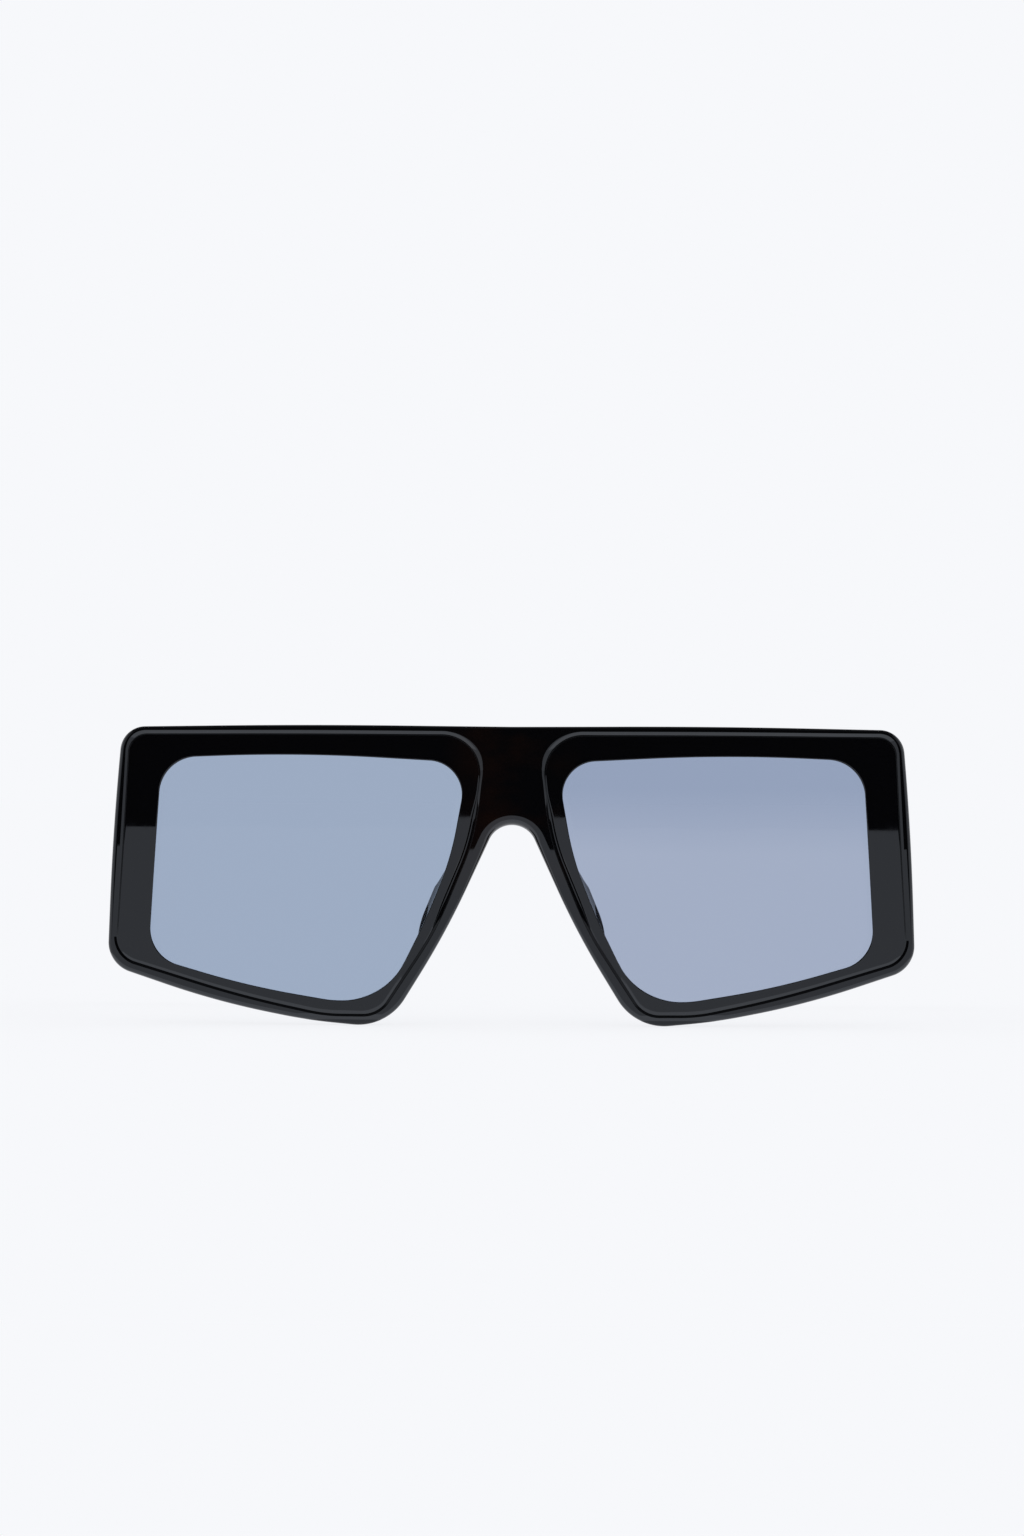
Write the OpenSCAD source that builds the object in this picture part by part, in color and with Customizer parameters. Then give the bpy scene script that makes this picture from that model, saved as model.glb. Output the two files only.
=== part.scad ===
// Flat-top sunglasses with a moulded front, two tinted lenses and folding arms.
// Millimetres. X runs from the wearer's right to the left, the front faces -Y, and Z is up.
// The origin lies on the table, in the middle of the part's width and depth.

/* [Lenses] */
// Visible width of one lens
lens_w = 58; // [54:0.5:62]
// Visible height of one lens
lens_h = 45.8; // [42:0.5:50]
// Least distance between the two visible lenses
bridge_w = 18.8; // [17:0.2:22]
// Thickness of a lens
lens_t = 2.0; // [1.6:0.1:2.4]
// Radius of the curve that wraps the front and the lenses round the face
base_radius = 260; // [200:10:400]

/* [Front] */
// Thickness of the front from the strip to its back face
front_t = 4.6; // [4.2:0.1:5.4]
// Width of the flat border above the lens
border_top = 3.8; // [3:0.1:5]
// Width of the flat border at the temple side of the lens
border_side = 5.8; // [5:0.1:8]
// Width of the flat border below the lens
border_foot = 2.35; // [2:0.05:3.5]
// Width of the flat border at the nose side of the lens
border_nose = 3.0; // [2.6:0.1:3.6]
// Width of the strip round the whole front, with its slope down to the groove
strip_w = 1.6; // [1.4:0.1:2.4]
// Height of the strip above the flat border
strip_rise = 0.25; // [0.1:0.05:0.4]
// Width of the slope from the strip down to the groove
slope_w = 0.7; // [0.4:0.05:0.9]
// Depth of the groove at the foot of that slope
groove_depth = 0.55; // [0.45:0.05:0.9]
// Width of the groove's steep wall up to the border
wall_w = 0.15; // [0.1:0.05:0.3]
// Rounding of the front's outer edge
edge_round = 0.8; // [0.5:0.1:0.9]
// Rounding of the edge under the bridge arch
arch_round = 1.8; // [1:0.1:2.4]
// Rounding of the edge on the back
back_round = 0.7; // [0.4:0.1:0.9]
// Radius of the bridge arch
arch_radius = 4.8; // [4:0.1:5.5]
// Height of the solid bridge over the arch
bridge_h = 18.3; // [15:0.1:21]
// Depth of the lens face behind the strip
lens_set_back = 1.5; // [1.2:0.1:1.8]
// Depth of the groove that grips the lens edge
lens_grip = 0.8; // [0.6:0.1:0.9]
// Gap between a lens edge and its groove
lens_gap = 0.05; // [0.02:0.01:0.1]

/* [Hinges] */
// Radius of the hinge knuckles
knuckle_r = 1.5; // [1.4:0.1:1.8]
// Height of one knuckle
knuckle_h = 1.5; // [1.3:0.1:1.8]
// Gap between two knuckles
knuckle_gap = 0.05; // [0.03:0.01:0.08]
// Radius of the screw's shank
screw_r = 0.7; // [0.6:0.05:0.8]
// Radial clearance of the arm's knuckles on the screw
screw_run = 0.04; // [0.02:0.01:0.08]
// Thickness of the hinge leaves
leaf_t = 1.2; // [1:0.1:1.4]
// Length of the leaf in the arm
leaf_l = 11; // [9:0.5:14]
// Gap between the hinge and the parts that turn past it
swing_gap = 0.25; // [0.2:0.05:0.4]
// Height of the end block that carries the hinge
block_h = 16; // [14:0.5:18]
// Distance from the top of the front down to the middle of the hinge
hinge_drop = 11.4; // [10.6:0.1:13]

/* [Arms] */
// Length of the arm's straight stretch behind the front
arm_run = 90; // [80:1:100]
// Downward slope of that stretch in degrees
arm_slope = 5.5; // [4:0.5:8]
// Downward angle of the tip in degrees
tip_slope = 40; // [35:1:50]
// Radius of the bend over the ear
ear_radius = 35; // [28:1:45]
// Height of the arm at the hinge
arm_h = 14.0; // [13:0.2:16]
// Height of the arm at the ear bend
arm_ear_h = 9.0; // [8:0.2:11]
// Height of the arm's tip
arm_tip_h = 10.0; // [8:0.2:11]
// Thickness of the arm at the hinge
arm_t = 3.8; // [3.6:0.1:4.6]
// Thickness of the arm at its tip
arm_tip_t = 3.2; // [3:0.1:3.8]
// Inward bend of the tip
tip_inward = 0.4; // [0:0.2:3]
// Height of the tip over the table while the front stands upright on it
tip_rise = 6.4; // [0:0.2:10]
// Set-back of the arm's outer face from the widest point of the front
arm_set_in = 2.0; // [1:0.1:3]
// Gap between the open arm and the front
butt_gap = 0.1; // [0.05:0.05:0.2]
// Height of the metal core strip
core_h = 2.6; // [2:0.1:3.2]
// Thickness of the metal core strip
core_t = 1.1; // [0.8:0.1:1.2]
// Gap round the core strip in its channel
core_gap = 0.04; // [0.02:0.01:0.06]
// Length of the core strip past the ear bend
core_past_ear = 10; // [5:1:14]

/* [Nose pads] */
// Length of a nose pad along the rim
pad_l = 20; // [16:0.5:21]
// Width of a nose pad on the rim
pad_w = 3.4; // [3.2:0.1:4.2]
// Height of a nose pad behind the rim
pad_depth = 6; // [5:0.5:8]
// Outward lean of a nose pad over that height
pad_lean = 1.8; // [1.5:0.1:3]

/* [Hidden] */

acetate = [0.035, 0.035, 0.04];
lens_tint = [0.45, 0.52, 0.64, 0.7];
steel = [0.72, 0.72, 0.70];

// Steps of each rounding in a loop: top, top corner, side, foot corner, foot,
// foot turn, nose corner, nose, bridge
loop_steps = [4, 8, 4, 8, 4, 3, 8, 4, 8];
bridge_steps = 3;

// Nose end of the left lens opening
lens_x = bridge_w / 2;

// Corners of one lens opening as [x, height over its foot, reach], clockwise seen from
// the front. The reach is how far a rounding runs along each side from its corner.
lens_corners = [
  [lens_x + 0.528 * lens_w, lens_h + 0.25, 15],
  [lens_x + 0.969 * lens_w, lens_h - 0.75, 5.8],
  [lens_x + 0.988 * lens_w, 0.58 * lens_h, 10],
  [lens_x + 1.006 * lens_w, 0.176 * lens_h, 5.6],
  [lens_x + 0.683 * lens_w, 0.0585 * lens_h, 9],
  [lens_x + 0.414 * lens_w, 0, 3],
  [lens_x + 0.245 * lens_w, 0, 6.6],
  [lens_x + 0.124 * lens_w, 0.344 * lens_h, 3],
  [lens_x + 0.037 * lens_w, 0.59 * lens_h, 5.3],
  [lens_x - 0.8, lens_h - 0.95, 6.2]
];

// What each corner moves by from the lens opening to the groove line, and its new reach
groove_moves = [
  [-2, border_top, 15],
  [border_side + 0.1, border_top + 0.65, 3.2],
  [border_side, 2, 10],
  [border_side + 0.2, 0, 3.9],
  [1, 0.7 - border_foot, 9],
  [1.2, -border_foot, 3],
  [1.3, -border_foot, 2.9],
  [0.6 - border_nose, -2.1, 6],
  [-1.2 - border_nose, 3.5, 5.6],
  [-border_nose, border_top + 1.15, 8]
];

// What each corner moves by from the groove line to the outline, and its new reach
edge_moves = [
  [0, strip_w, 18],
  [strip_w - 0.4, strip_w - 0.2, 2.9],
  [strip_w + 0.2, 3, 14],
  [strip_w - 0.2, 0.2 - strip_w, 4.3],
  [4.8, 0.5 - strip_w, 10],
  [3.4, 0.4 - strip_w, 5],
  [-1.5, -0.9 - strip_w, 6.1],
  [0.2 - strip_w, 0.7 - strip_w, 9]
];

function moved(corners, moves) =
  [for (i = [0:len(moves) - 1])
    [corners[i].x + moves[i].x, corners[i].y + moves[i].y, moves[i].z]];

groove_corners = moved(lens_corners, groove_moves);
edge_corners = moved(groove_corners, edge_moves);

// The top edge falls a little from over the lenses to the middle of the bridge
top_fall = 0.15;
top_z = edge_corners[0].y - top_fall;
arch_z = top_z - bridge_h;

// The arch ends on the middle plane, where its tangent is level
arch_reach = 0.64 * arch_radius;
arch_corner = [arch_reach, arch_z, arch_reach];
outline_corners = concat(edge_corners, [arch_corner]);

function flat(v) = [v.x, v.y];
function unit(v) = v / norm(v);

// A circular arc tangent to both sides of a corner, as a weighted quadratic curve
function corner_arc(before, corner, after, steps) =
  let (
    b = flat(corner),
    u = unit(flat(before) - b),
    v = unit(flat(after) - b),
    from = b + u * corner.z,
    to = b + v * corner.z,
    weight = sqrt(max(0, 1 - u * v) / 2)
  )
  [for (k = [0:steps])
    let (t = k / steps, a = (1 - t) * (1 - t), m = 2 * t * (1 - t) * weight, c = t * t)
    (a * from + m * b + c * to) / (a + m + c)];

// All corners of a loop rounded, between two end points
function rounded(corners, first, last) =
  let (n = len(corners))
  [for (i = [0:n - 1])
    each corner_arc(
      i == 0 ? first : corners[i - 1], corners[i], i == n - 1 ? last : corners[i + 1],
      loop_steps[i])];

// The inner loops end with three points up the straight nose side and a rounded top corner
function closed_loop(corners) =
  let (
    round_part = [for (i = [0:8]) corners[i]],
    body = rounded(round_part, corners[9], corners[9]),
    turn = corner_arc(corners[8], corners[9], corners[0], 2 * bridge_steps),
    low = body[len(body) - 1]
  )
  concat(
    body,
    [for (k = [1:bridge_steps]) low + (turn[0] - low) * k / (bridge_steps + 1)],
    turn);

lens_loop = closed_loop(lens_corners);
groove_loop = closed_loop(groove_corners);

// The outline of one half runs up the middle plane and along the top instead
bridge_row = 2.5;
edge_loop = concat(
  rounded(outline_corners, [0, top_z], [0, arch_z]),
  [for (k = [1:bridge_steps]) [0, arch_z + arch_round * k / bridge_steps]],
  [for (k = [bridge_steps:-1:0]) [0, top_z - edge_round * k / bridge_steps]],
  [for (k = [1:bridge_steps])
    [bridge_row * k, top_z + top_fall * bridge_row * k / edge_corners[0].x]]);

// Lowest point of the outline, which rests on the table
foot_z = min([for (p = edge_loop) p.y]);

// Depth of the curved front behind its middle, at a distance from the middle plane
function sag(x) = base_radius - sqrt(base_radius * base_radius - x * x);

// Distance from a point to a stretch of line
function span_gap(p, a, b) =
  let (ab = b - a, t = max(0, min(1, (p - a) * ab / (ab * ab))))
  norm(p - a - ab * t);

// The true outer edge of one half, without the middle plane
edge_count = len(edge_loop);
arch_end = edge_count - 3 * bridge_steps - 2;
true_edge = concat(
  [for (i = [edge_count - bridge_steps - 1:edge_count - 1]) edge_loop[i]],
  [for (i = [0:arch_end]) edge_loop[i]]);
function edge_gap(p) =
  min([for (i = [0:len(true_edge) - 2]) span_gap(p, true_edge[i], true_edge[i + 1])]);

// The edge rounding grows towards the bridge arch, between these two distances from it
arch_far = 16;
arch_near = 4;
function rounding_at(p) =
  let (
    far = norm(p - [0, arch_z]),
    blend = max(0, min(1, (arch_far - far) / (arch_far - arch_near)))
  )
  edge_round + (arch_round - edge_round) * blend;

// Drop of a rounded edge of radius r at a distance d inside it
function edge_drop(d, r) = d >= r ? 0 : r - sqrt(r * r - (r - d) * (r - d));

function toward(a, b, d) = a + (b - a) * d / norm(b - a);

// Point of a closed loop moved out square to it by a distance. The loops run round the
// eye from the top towards the temple.
function moved_out(loop, i, d) =
  let (
    n = len(loop),
    along = unit(loop[(i + 1) % n] - loop[(i + n - 1) % n])
  )
  loop[i] + [-along.y, along.x] * d;

// The flat border ends in a fine bevel at the lens. A rounded edge has its second ring
// at this share of its width, and leaves this much of the strip flat.
lip_w = 0.2;
lip_drop = 0.2;
ring_share = 0.3;
strip_flat = 0.05;

// One cross-section of the front, from its outer edge over the face, round the lens
// groove and back: [x, depth, z] at each ring
function front_point(p, depth) = [p.x, sag(p.x) + depth, p.y - foot_z];
function front_section(i) =
  let (
    e = edge_loop[i], g = groove_loop[i], l = lens_loop[i],
    r = min(rounding_at(e), norm(g - e) - slope_w - strip_flat),
    e1 = toward(e, g, ring_share * r),
    e2 = toward(e, g, r),
    b1 = toward(e, g, ring_share * back_round),
    b2 = toward(e, g, back_round),
    shoulder = moved_out(groove_loop, i, slope_w),
    border_out = moved_out(groove_loop, i, -wall_w),
    border_in = moved_out(lens_loop, i, lip_w),
    grip = toward(l, g, lens_grip),
    lens_back = lens_set_back + lens_t
  )
  [
    front_point(e, edge_drop(edge_gap(e), r)),
    front_point(e1, edge_drop(edge_gap(e1), r)),
    front_point(e2, edge_drop(edge_gap(e2), r)),
    front_point(shoulder, 0),
    front_point(g, groove_depth),
    front_point(border_out, strip_rise),
    front_point(border_in, strip_rise),
    front_point(l, strip_rise + lip_drop),
    front_point(l, lens_set_back),
    front_point(grip, lens_set_back),
    front_point(grip, lens_back),
    front_point(l, lens_back),
    front_point(l, front_t),
    front_point(b2, front_t - edge_drop(edge_gap(b2), back_round)),
    front_point(b1, front_t - edge_drop(edge_gap(b1), back_round)),
    front_point(e, front_t - edge_drop(edge_gap(e), back_round))
  ];

// A closed ring of sections as one solid
module ring_solid(sections) {
  n = len(sections);
  m = len(sections[0]);
  polyhedron(
    points = [for (s = sections) each s],
    faces = [
      for (i = [0:n - 1])
        for (j = [0:m - 1])
          let (
            a = i * m + j,
            b = (i + 1) % n * m + j,
            c = (i + 1) % n * m + (j + 1) % m,
            d = i * m + (j + 1) % m
          )
          each [[a, b, c], [a, c, d]]
    ]);
}

// A row of sections with flat ends as one solid
module loft_solid(sections) {
  n = len(sections);
  m = len(sections[0]);
  polyhedron(
    points = [for (s = sections) each s],
    faces = concat(
      [[for (j = [m - 1:-1:0]) j]],
      [[for (j = [0:m - 1]) (n - 1) * m + j]],
      [
        for (i = [0:n - 2])
          for (j = [0:m - 1])
            let (
              a = i * m + j,
              b = i * m + (j + 1) % m,
              c = (i + 1) * m + (j + 1) % m,
              d = (i + 1) * m + j
            )
            each [[a, b, c], [a, c, d]]
      ]));
}

// Places of the hinge, which everything at the corner follows
side_x = max([for (p = edge_loop) p.x]);
arm_out_x = side_x - arm_set_in;
arm_in_x = arm_out_x - arm_t;
pin_x = arm_in_x - knuckle_r - swing_gap;
block_rise = 0.8;
block_y = sag(side_x) + front_t + block_rise;
pin_y = block_y + knuckle_r + swing_gap;
hinge_z = top_z - foot_z - hinge_drop;
knuckles = 5;
hinge_h = knuckles * knuckle_h + (knuckles - 1) * knuckle_gap;
hinge_low = hinge_z - hinge_h / 2;
function knuckle_low(k) = hinge_low + k * (knuckle_h + knuckle_gap);

// The front's leaf starts at its knuckles' webs and ends inside the end block's wall
block_wall = 0.9;
leaf_cover = 1.6;
front_leaf_in_x = pin_x - knuckle_r + block_wall;
front_leaf_out_x = arm_out_x - leaf_cover;

// The arm's centre line in side view: straight, round the ear, and straight to the tip.
// Its hinge leaf lies behind a wall at its front end.
arm_y = block_y + butt_gap;
arm_leaf_y = arm_y + 1;
arm_end_h = arm_tip_h / 2;
bend_y = arm_y + arm_run * cos(arm_slope);
bend_z = hinge_z - arm_run * sin(arm_slope);
past_y = bend_y + ear_radius * (sin(tip_slope) - sin(arm_slope));
past_z = bend_z - ear_radius * (cos(arm_slope) - cos(tip_slope));
ear_l = ear_radius * (tip_slope - arm_slope) * PI / 180;
tip_l = (past_z - arm_end_h - tip_rise) / sin(tip_slope);
arm_l = arm_run + ear_l + tip_l;
end_y = past_y + tip_l * cos(tip_slope) + arm_end_h;
middle_y = end_y / 2;

function arm_angle(s) =
  s < arm_run ? arm_slope
  : s < arm_run + ear_l ? arm_slope + (s - arm_run) / ear_radius * 180 / PI
  : tip_slope;
function arm_centre(s) =
  s < arm_run ? [arm_y + s * cos(arm_slope), hinge_z - s * sin(arm_slope)]
  : s < arm_run + ear_l ?
    [bend_y + ear_radius * (sin(arm_angle(s)) - sin(arm_slope)),
     bend_z - ear_radius * (cos(arm_slope) - cos(arm_angle(s)))]
  : [past_y + (s - arm_run - ear_l) * cos(tip_slope),
     past_z - (s - arm_run - ear_l) * sin(tip_slope)];

function smooth(t) = let (u = max(0, min(1, t))) u * u * (3 - 2 * u);
function arm_height(s) =
  s < arm_run ? arm_h + (arm_ear_h - arm_h) * smooth(s / arm_run)
  : arm_ear_h + (arm_tip_h - arm_ear_h) * smooth((s - arm_run) / (ear_l + 0.6 * tip_l));
function arm_thick(s) = arm_t + (arm_tip_t - arm_t) * smooth(s / arm_l);
function arm_shift(s) = -tip_inward * smooth((s - arm_run - ear_l) / tip_l);

// A soft-cornered oblong, of half width a and half height b, as [x, z]
function oblong(a, b, corner, steps) =
  [for (k = [0:4 * steps - 1])
    let (t = 360 * (k + 0.5) / (4 * steps), c = cos(t), s = sin(t), e = 2 / corner)
    [a * sign(c) * pow(abs(c), e), b * sign(s) * pow(abs(s), e)]];

// A section of the arm: upright at the front and square to the centre line behind
arm_corner = 4.5;
arm_steps = 4;
lean_run = 14;
function arm_section(s) =
  let (
    lean = arm_angle(s) * smooth(s / lean_run),
    centre = arm_centre(s),
    a = arm_thick(s) / 2,
    mid_x = arm_in_x + a + arm_shift(s)
  )
  [for (p = oblong(a, arm_height(s) / 2, arm_corner, arm_steps))
    [mid_x + p.x, centre.x + p.y * sin(lean), centre.y + p.y * cos(lean)]];

// The tip is a half round in side view and thins towards its end
tip_steps = 6;
tip_flat = 0.12;
tip_thin = 0.45;
function tip_section(k) =
  let (
    t = 90 * k / tip_steps,
    out = arm_end_h * sin(t),
    centre = arm_centre(arm_l) + out * [cos(tip_slope), -sin(tip_slope)],
    tall = max(tip_flat, cos(t)),
    thin = tip_thin + (1 - tip_thin) * sqrt(max(0, cos(t)))
  )
  [for (p = oblong(arm_tip_t / 2 * thin, arm_end_h * tall, arm_corner, arm_steps))
    [arm_in_x + arm_tip_t / 2 - tip_inward + p.x,
     centre.x + p.y * sin(tip_slope), centre.y + p.y * cos(tip_slope)]];

arm_stations = concat(
  [0, 4, 8, 14, 22, 32, 44, 56, 68, 79],
  [for (k = [0:6]) arm_run + ear_l * k / 6],
  [for (k = [1:4]) arm_run + ear_l + tip_l * k / 4]);

// A flat ribbon along the arm's centre line, from one distance to another
ribbon_steps = 24;
function ribbon(from, to, half) =
  let (
    rows = [for (k = [0:ribbon_steps]) from + (to - from) * k / ribbon_steps],
    side = function (s, h)
      arm_centre(s) + h * [sin(arm_angle(s)), cos(arm_angle(s))]
  )
  concat(
    [for (s = rows) side(s, half)],
    [for (k = [ribbon_steps:-1:0]) side(rows[k], -half)]);

core_from = 3;
core_to = arm_run + ear_l + core_past_ear;

// Moves a piece from the middle of the front to the origin
module placed() {
  translate([0, -middle_y, 0]) children();
}

// Builds a piece of the wearer's left side, or its mirror image
module side(left) {
  placed() mirror([left ? 0 : 1, 0, 0]) children();
}

// A block between two corners
module block(low, high) {
  translate(low) cube(high - low);
}

// An upright plate cut from a [x, z] outline, between two depths
module upright(outline, from, to) {
  translate([0, to, 0]) rotate([90, 0, 0]) linear_extrude(to - from) polygon(outline);
}

module half_front() {
  ring_solid([for (i = [0:edge_count - 1]) front_section(i)]);
}

// The end block behind the temple corner, flat where the open arm meets it. It stays
// inside the outline, so that nothing of it shows from the front, and its root is sunk in
// the back of the front on its inner side too, where the back lies further forward.
block_inset = 0.3;
block_round = 1.2;
block_sink = 0.25;
block_in_x = front_leaf_in_x - block_wall;
block_root = sag(side_x) - sag(block_in_x) + block_sink;
module end_block() {
  low = hinge_z - block_h / 2;
  high = hinge_z + block_h / 2;
  out_x = side_x + block_round;
  corner = [
    [block_in_x, low, block_round], [block_in_x, high, block_round],
    [out_x, high, block_round], [out_x, low, block_round]
  ];
  oblong_face = [for (i = [0:3])
    each corner_arc(corner[(i + 3) % 4], corner[i], corner[(i + 1) % 4], 4)];
  inset_face = [for (i = [0:edge_count - 1])
    let (p = toward(edge_loop[i], groove_loop[i], block_inset)) [p.x, p.y - foot_z]];
  translate([0, block_y, 0])
  rotate([90, 0, 0])
  linear_extrude(block_rise + block_root)
  intersection() {
    polygon(oblong_face);
    polygon(inset_face);
  }
}

// The pocket of the front's hinge leaf, open at the back
module front_leaf_space() {
  block(
    [front_leaf_in_x, block_y - leaf_t, hinge_low],
    [front_leaf_out_x, block_y + 1, hinge_low + hinge_h]);
}

module front_frame() {
  color(acetate)
  placed()
  difference() {
    union() {
      half_front();
      mirror([1, 0, 0]) half_front();
      end_block();
      mirror([1, 0, 0]) end_block();
    }
    front_leaf_space();
    mirror([1, 0, 0]) front_leaf_space();
  }
}

// An upright cylinder of the base curve, with its front at a depth, taller than the front
module base_curve(depth) {
  tall = lens_h + border_top + border_foot + 4 * strip_w;
  translate([0, depth + base_radius, -strip_w]) cylinder(h = tall, r = base_radius, $fn = 720);
}

// A lens: its outline cut between two faces of the base curve
module lens(left) {
  outline = [for (i = [0:edge_count - 1])
    let (p = toward(lens_loop[i], groove_loop[i], lens_grip - lens_gap)) [p.x, p.y - foot_z]];
  color(lens_tint)
  side(left)
  difference() {
    intersection() {
      upright(outline, 0, sag(side_x) + front_t);
      base_curve(lens_set_back + lens_gap);
    }
    base_curve(lens_set_back + lens_t - lens_gap);
  }
}

// The nose pad lies along the rim between the row of the outline's nose corner and the
// row where the arch begins, and its middle at this share of the way up
pad_place = 0.6;
function rim_middle(i) = (edge_loop[i] + lens_loop[i]) / 2;
function first_row(corner) =
  corner == 0 ? 0 : first_row(corner - 1) + loop_steps[corner - 1] + 1;
rim_low = rim_middle(first_row(6) + loop_steps[6]);
rim_high = rim_middle(first_row(8));

// A nose pad: ovals that lean outwards as they rise from the back of the rim
pad_rings = 5;
pad_steps = 6;
pad_corner = 2.6;
pad_seat = 0.02;
pad_taper = 0.12;
pad_slim = 0.55;
module nose_pad(left) {
  along = unit(rim_high - rim_low);
  across = [along.y, -along.x];
  mid = rim_low + (rim_high - rim_low) * pad_place;
  sections = [for (k = [0:pad_rings])
    let (
      t = k / pad_rings,
      slim = sqrt(1 - pad_slim * t * t),
      centre = mid + across * pad_lean * t * t + along * 0.8 * t,
      flatness = smooth(t)
    )
    [for (p = oblong(pad_w / 2 * slim, pad_l / 2 * (slim - 0.08 * t), pad_corner, pad_steps))
      let (
        narrow = 1 - pad_taper * p.y / (pad_l / 2),
        q = centre + across * p.x * narrow + along * p.y,
        curve = (1 - flatness) * sag(q.x) + flatness * sag(mid.x)
      )
      [q.x, front_t + pad_seat + pad_depth * t + curve, q.y - foot_z]]];
  color(acetate) side(left) loft_solid(sections);
}

// A knuckle of the hinge, with a web to its leaf
module knuckle(k, bore, web_low, web_high) {
  difference() {
    union() {
      translate([pin_x, pin_y, knuckle_low(k)]) cylinder(h = knuckle_h, r = knuckle_r, $fn = 48);
      block(
        [web_low.x, web_low.y, knuckle_low(k)],
        [web_high.x, web_high.y, knuckle_low(k) + knuckle_h]);
    }
    translate([pin_x, pin_y, knuckle_low(k) - 1]) cylinder(h = knuckle_h + 2, r = bore, $fn = 48);
  }
}

module front_hinge(left) {
  color(steel)
  side(left) {
    block(
      [front_leaf_in_x, block_y - leaf_t, hinge_low],
      [front_leaf_out_x, block_y, hinge_low + hinge_h]);
    for (k = [0, 2, 4])
      knuckle(k, screw_r + screw_run / 2,
        [front_leaf_in_x, block_y - leaf_t / 2], [pin_x + knuckle_r, pin_y]);
  }
}

module temple_hinge(left) {
  color(steel)
  side(left) {
    temple_leaf();
    for (k = [1, 3])
      knuckle(k, screw_r + screw_run,
        [pin_x, arm_leaf_y], [arm_in_x + leaf_t / 2, pin_y + knuckle_r]);
  }
}

// The leaf in the arm's inner face. Its pocket is the same block, open towards the head.
module temple_leaf(open = 0) {
  block(
    [arm_in_x - open, arm_leaf_y, hinge_low],
    [arm_in_x + leaf_t, arm_leaf_y + leaf_l, hinge_low + hinge_h]);
}

module hinge_screw(left) {
  head_r = knuckle_r - 0.25;
  head_h = 0.8;
  slot_w = 0.35;
  top = hinge_low + hinge_h;
  color(steel)
  side(left)
  difference() {
    translate([pin_x, pin_y, 0]) {
      translate([0, 0, hinge_low]) cylinder(h = hinge_h, r = screw_r, $fn = 48);
      translate([0, 0, top]) cylinder(h = head_h, r = head_r, $fn = 48);
    }
    block(
      [pin_x - 2 * head_r, pin_y - slot_w / 2, top + head_h / 2],
      [pin_x + 2 * head_r, pin_y + slot_w / 2, top + head_h + 1]);
  }
}

module temple(left) {
  color(acetate)
  side(left)
  difference() {
    loft_solid(concat(
      [for (s = arm_stations) arm_section(s)],
      [for (k = [1:tip_steps]) tip_section(k)]));
    temple_leaf(open = 1);
    core_strip(core_gap);
  }
}

// The core strip, or its channel when it is grown by a gap
module core_strip(gap) {
  translate([arm_in_x + leaf_t, 0, 0])
  rotate([90, 0, 90])
  linear_extrude(core_t + gap)
  polygon(ribbon(core_from - gap, core_to + gap, core_h / 2 + gap));
}

module temple_core(left) {
  color(steel) side(left) core_strip(0);
}

front_frame();
lens(true);  // lens_left
lens(false);  // lens_right
nose_pad(true);  // nose_pad_left
nose_pad(false);  // nose_pad_right
front_hinge(true);  // front_hinge_left
front_hinge(false);  // front_hinge_right
temple_hinge(true);  // temple_hinge_left
temple_hinge(false);  // temple_hinge_right
hinge_screw(true);  // hinge_screw_left
hinge_screw(false);  // hinge_screw_right
temple(true);  // temple_left
temple(false);  // temple_right
temple_core(true);  // temple_core_left
temple_core(false);  // temple_core_right
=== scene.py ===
"""Flat-top sunglasses: the moulded front, lenses, nose pads, arms and hinges as finished
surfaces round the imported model, on a pale floor in soft studio light."""

import math

import bmesh
import bpy
import numpy as np
from bpy.props import FloatProperty, FloatVectorProperty, PointerProperty
from bpy.types import Operator, Panel, PropertyGroup
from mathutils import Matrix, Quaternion, Vector


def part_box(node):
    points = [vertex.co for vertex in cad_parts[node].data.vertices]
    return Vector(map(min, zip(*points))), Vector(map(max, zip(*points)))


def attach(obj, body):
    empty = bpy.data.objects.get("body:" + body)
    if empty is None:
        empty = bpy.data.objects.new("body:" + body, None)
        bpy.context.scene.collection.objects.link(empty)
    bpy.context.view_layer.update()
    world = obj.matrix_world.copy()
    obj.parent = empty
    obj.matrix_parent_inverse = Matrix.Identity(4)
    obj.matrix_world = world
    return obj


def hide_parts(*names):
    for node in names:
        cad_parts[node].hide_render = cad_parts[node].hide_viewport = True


bl_info = {
    "name": "Flat-top sunglasses",
    "version": (1, 0, 0),
    "blender": (4, 5, 0),
    "location": "View3D > Sidebar > Sunglasses",
    "description": "Builds the finished pieces of a pair of flat-top sunglasses",
    "category": "Object",
}

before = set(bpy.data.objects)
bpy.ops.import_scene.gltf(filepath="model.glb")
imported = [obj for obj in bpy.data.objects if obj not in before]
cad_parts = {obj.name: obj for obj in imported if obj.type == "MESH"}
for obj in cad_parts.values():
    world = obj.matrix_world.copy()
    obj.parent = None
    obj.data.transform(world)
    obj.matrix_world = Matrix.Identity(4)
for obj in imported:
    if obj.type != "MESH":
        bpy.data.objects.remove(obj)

MM = 0.001
SIDES = {"left": 1, "right": -1}


def length(name, text, millimetres):
    """A length property, given in millimetres and kept in metres."""
    return FloatProperty(name=name, description=text, default=millimetres * MM, min=0.0,
                         precision=5, unit="LENGTH")


def tilt(name, text, radians):
    """An angle property."""
    return FloatProperty(name=name, description=text, default=radians, subtype="ANGLE")


def fraction(name, text, part):
    """A property that is a share between 0 and 1."""
    return FloatProperty(name=name, description=text, default=part, min=0.0, max=1.0,
                         subtype="FACTOR")


def tone(name, text, colour):
    """A colour property in linear light."""
    return FloatVectorProperty(name=name, description=text, default=colour, size=3, min=0.0,
                               max=1.0, subtype="COLOR")


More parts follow.
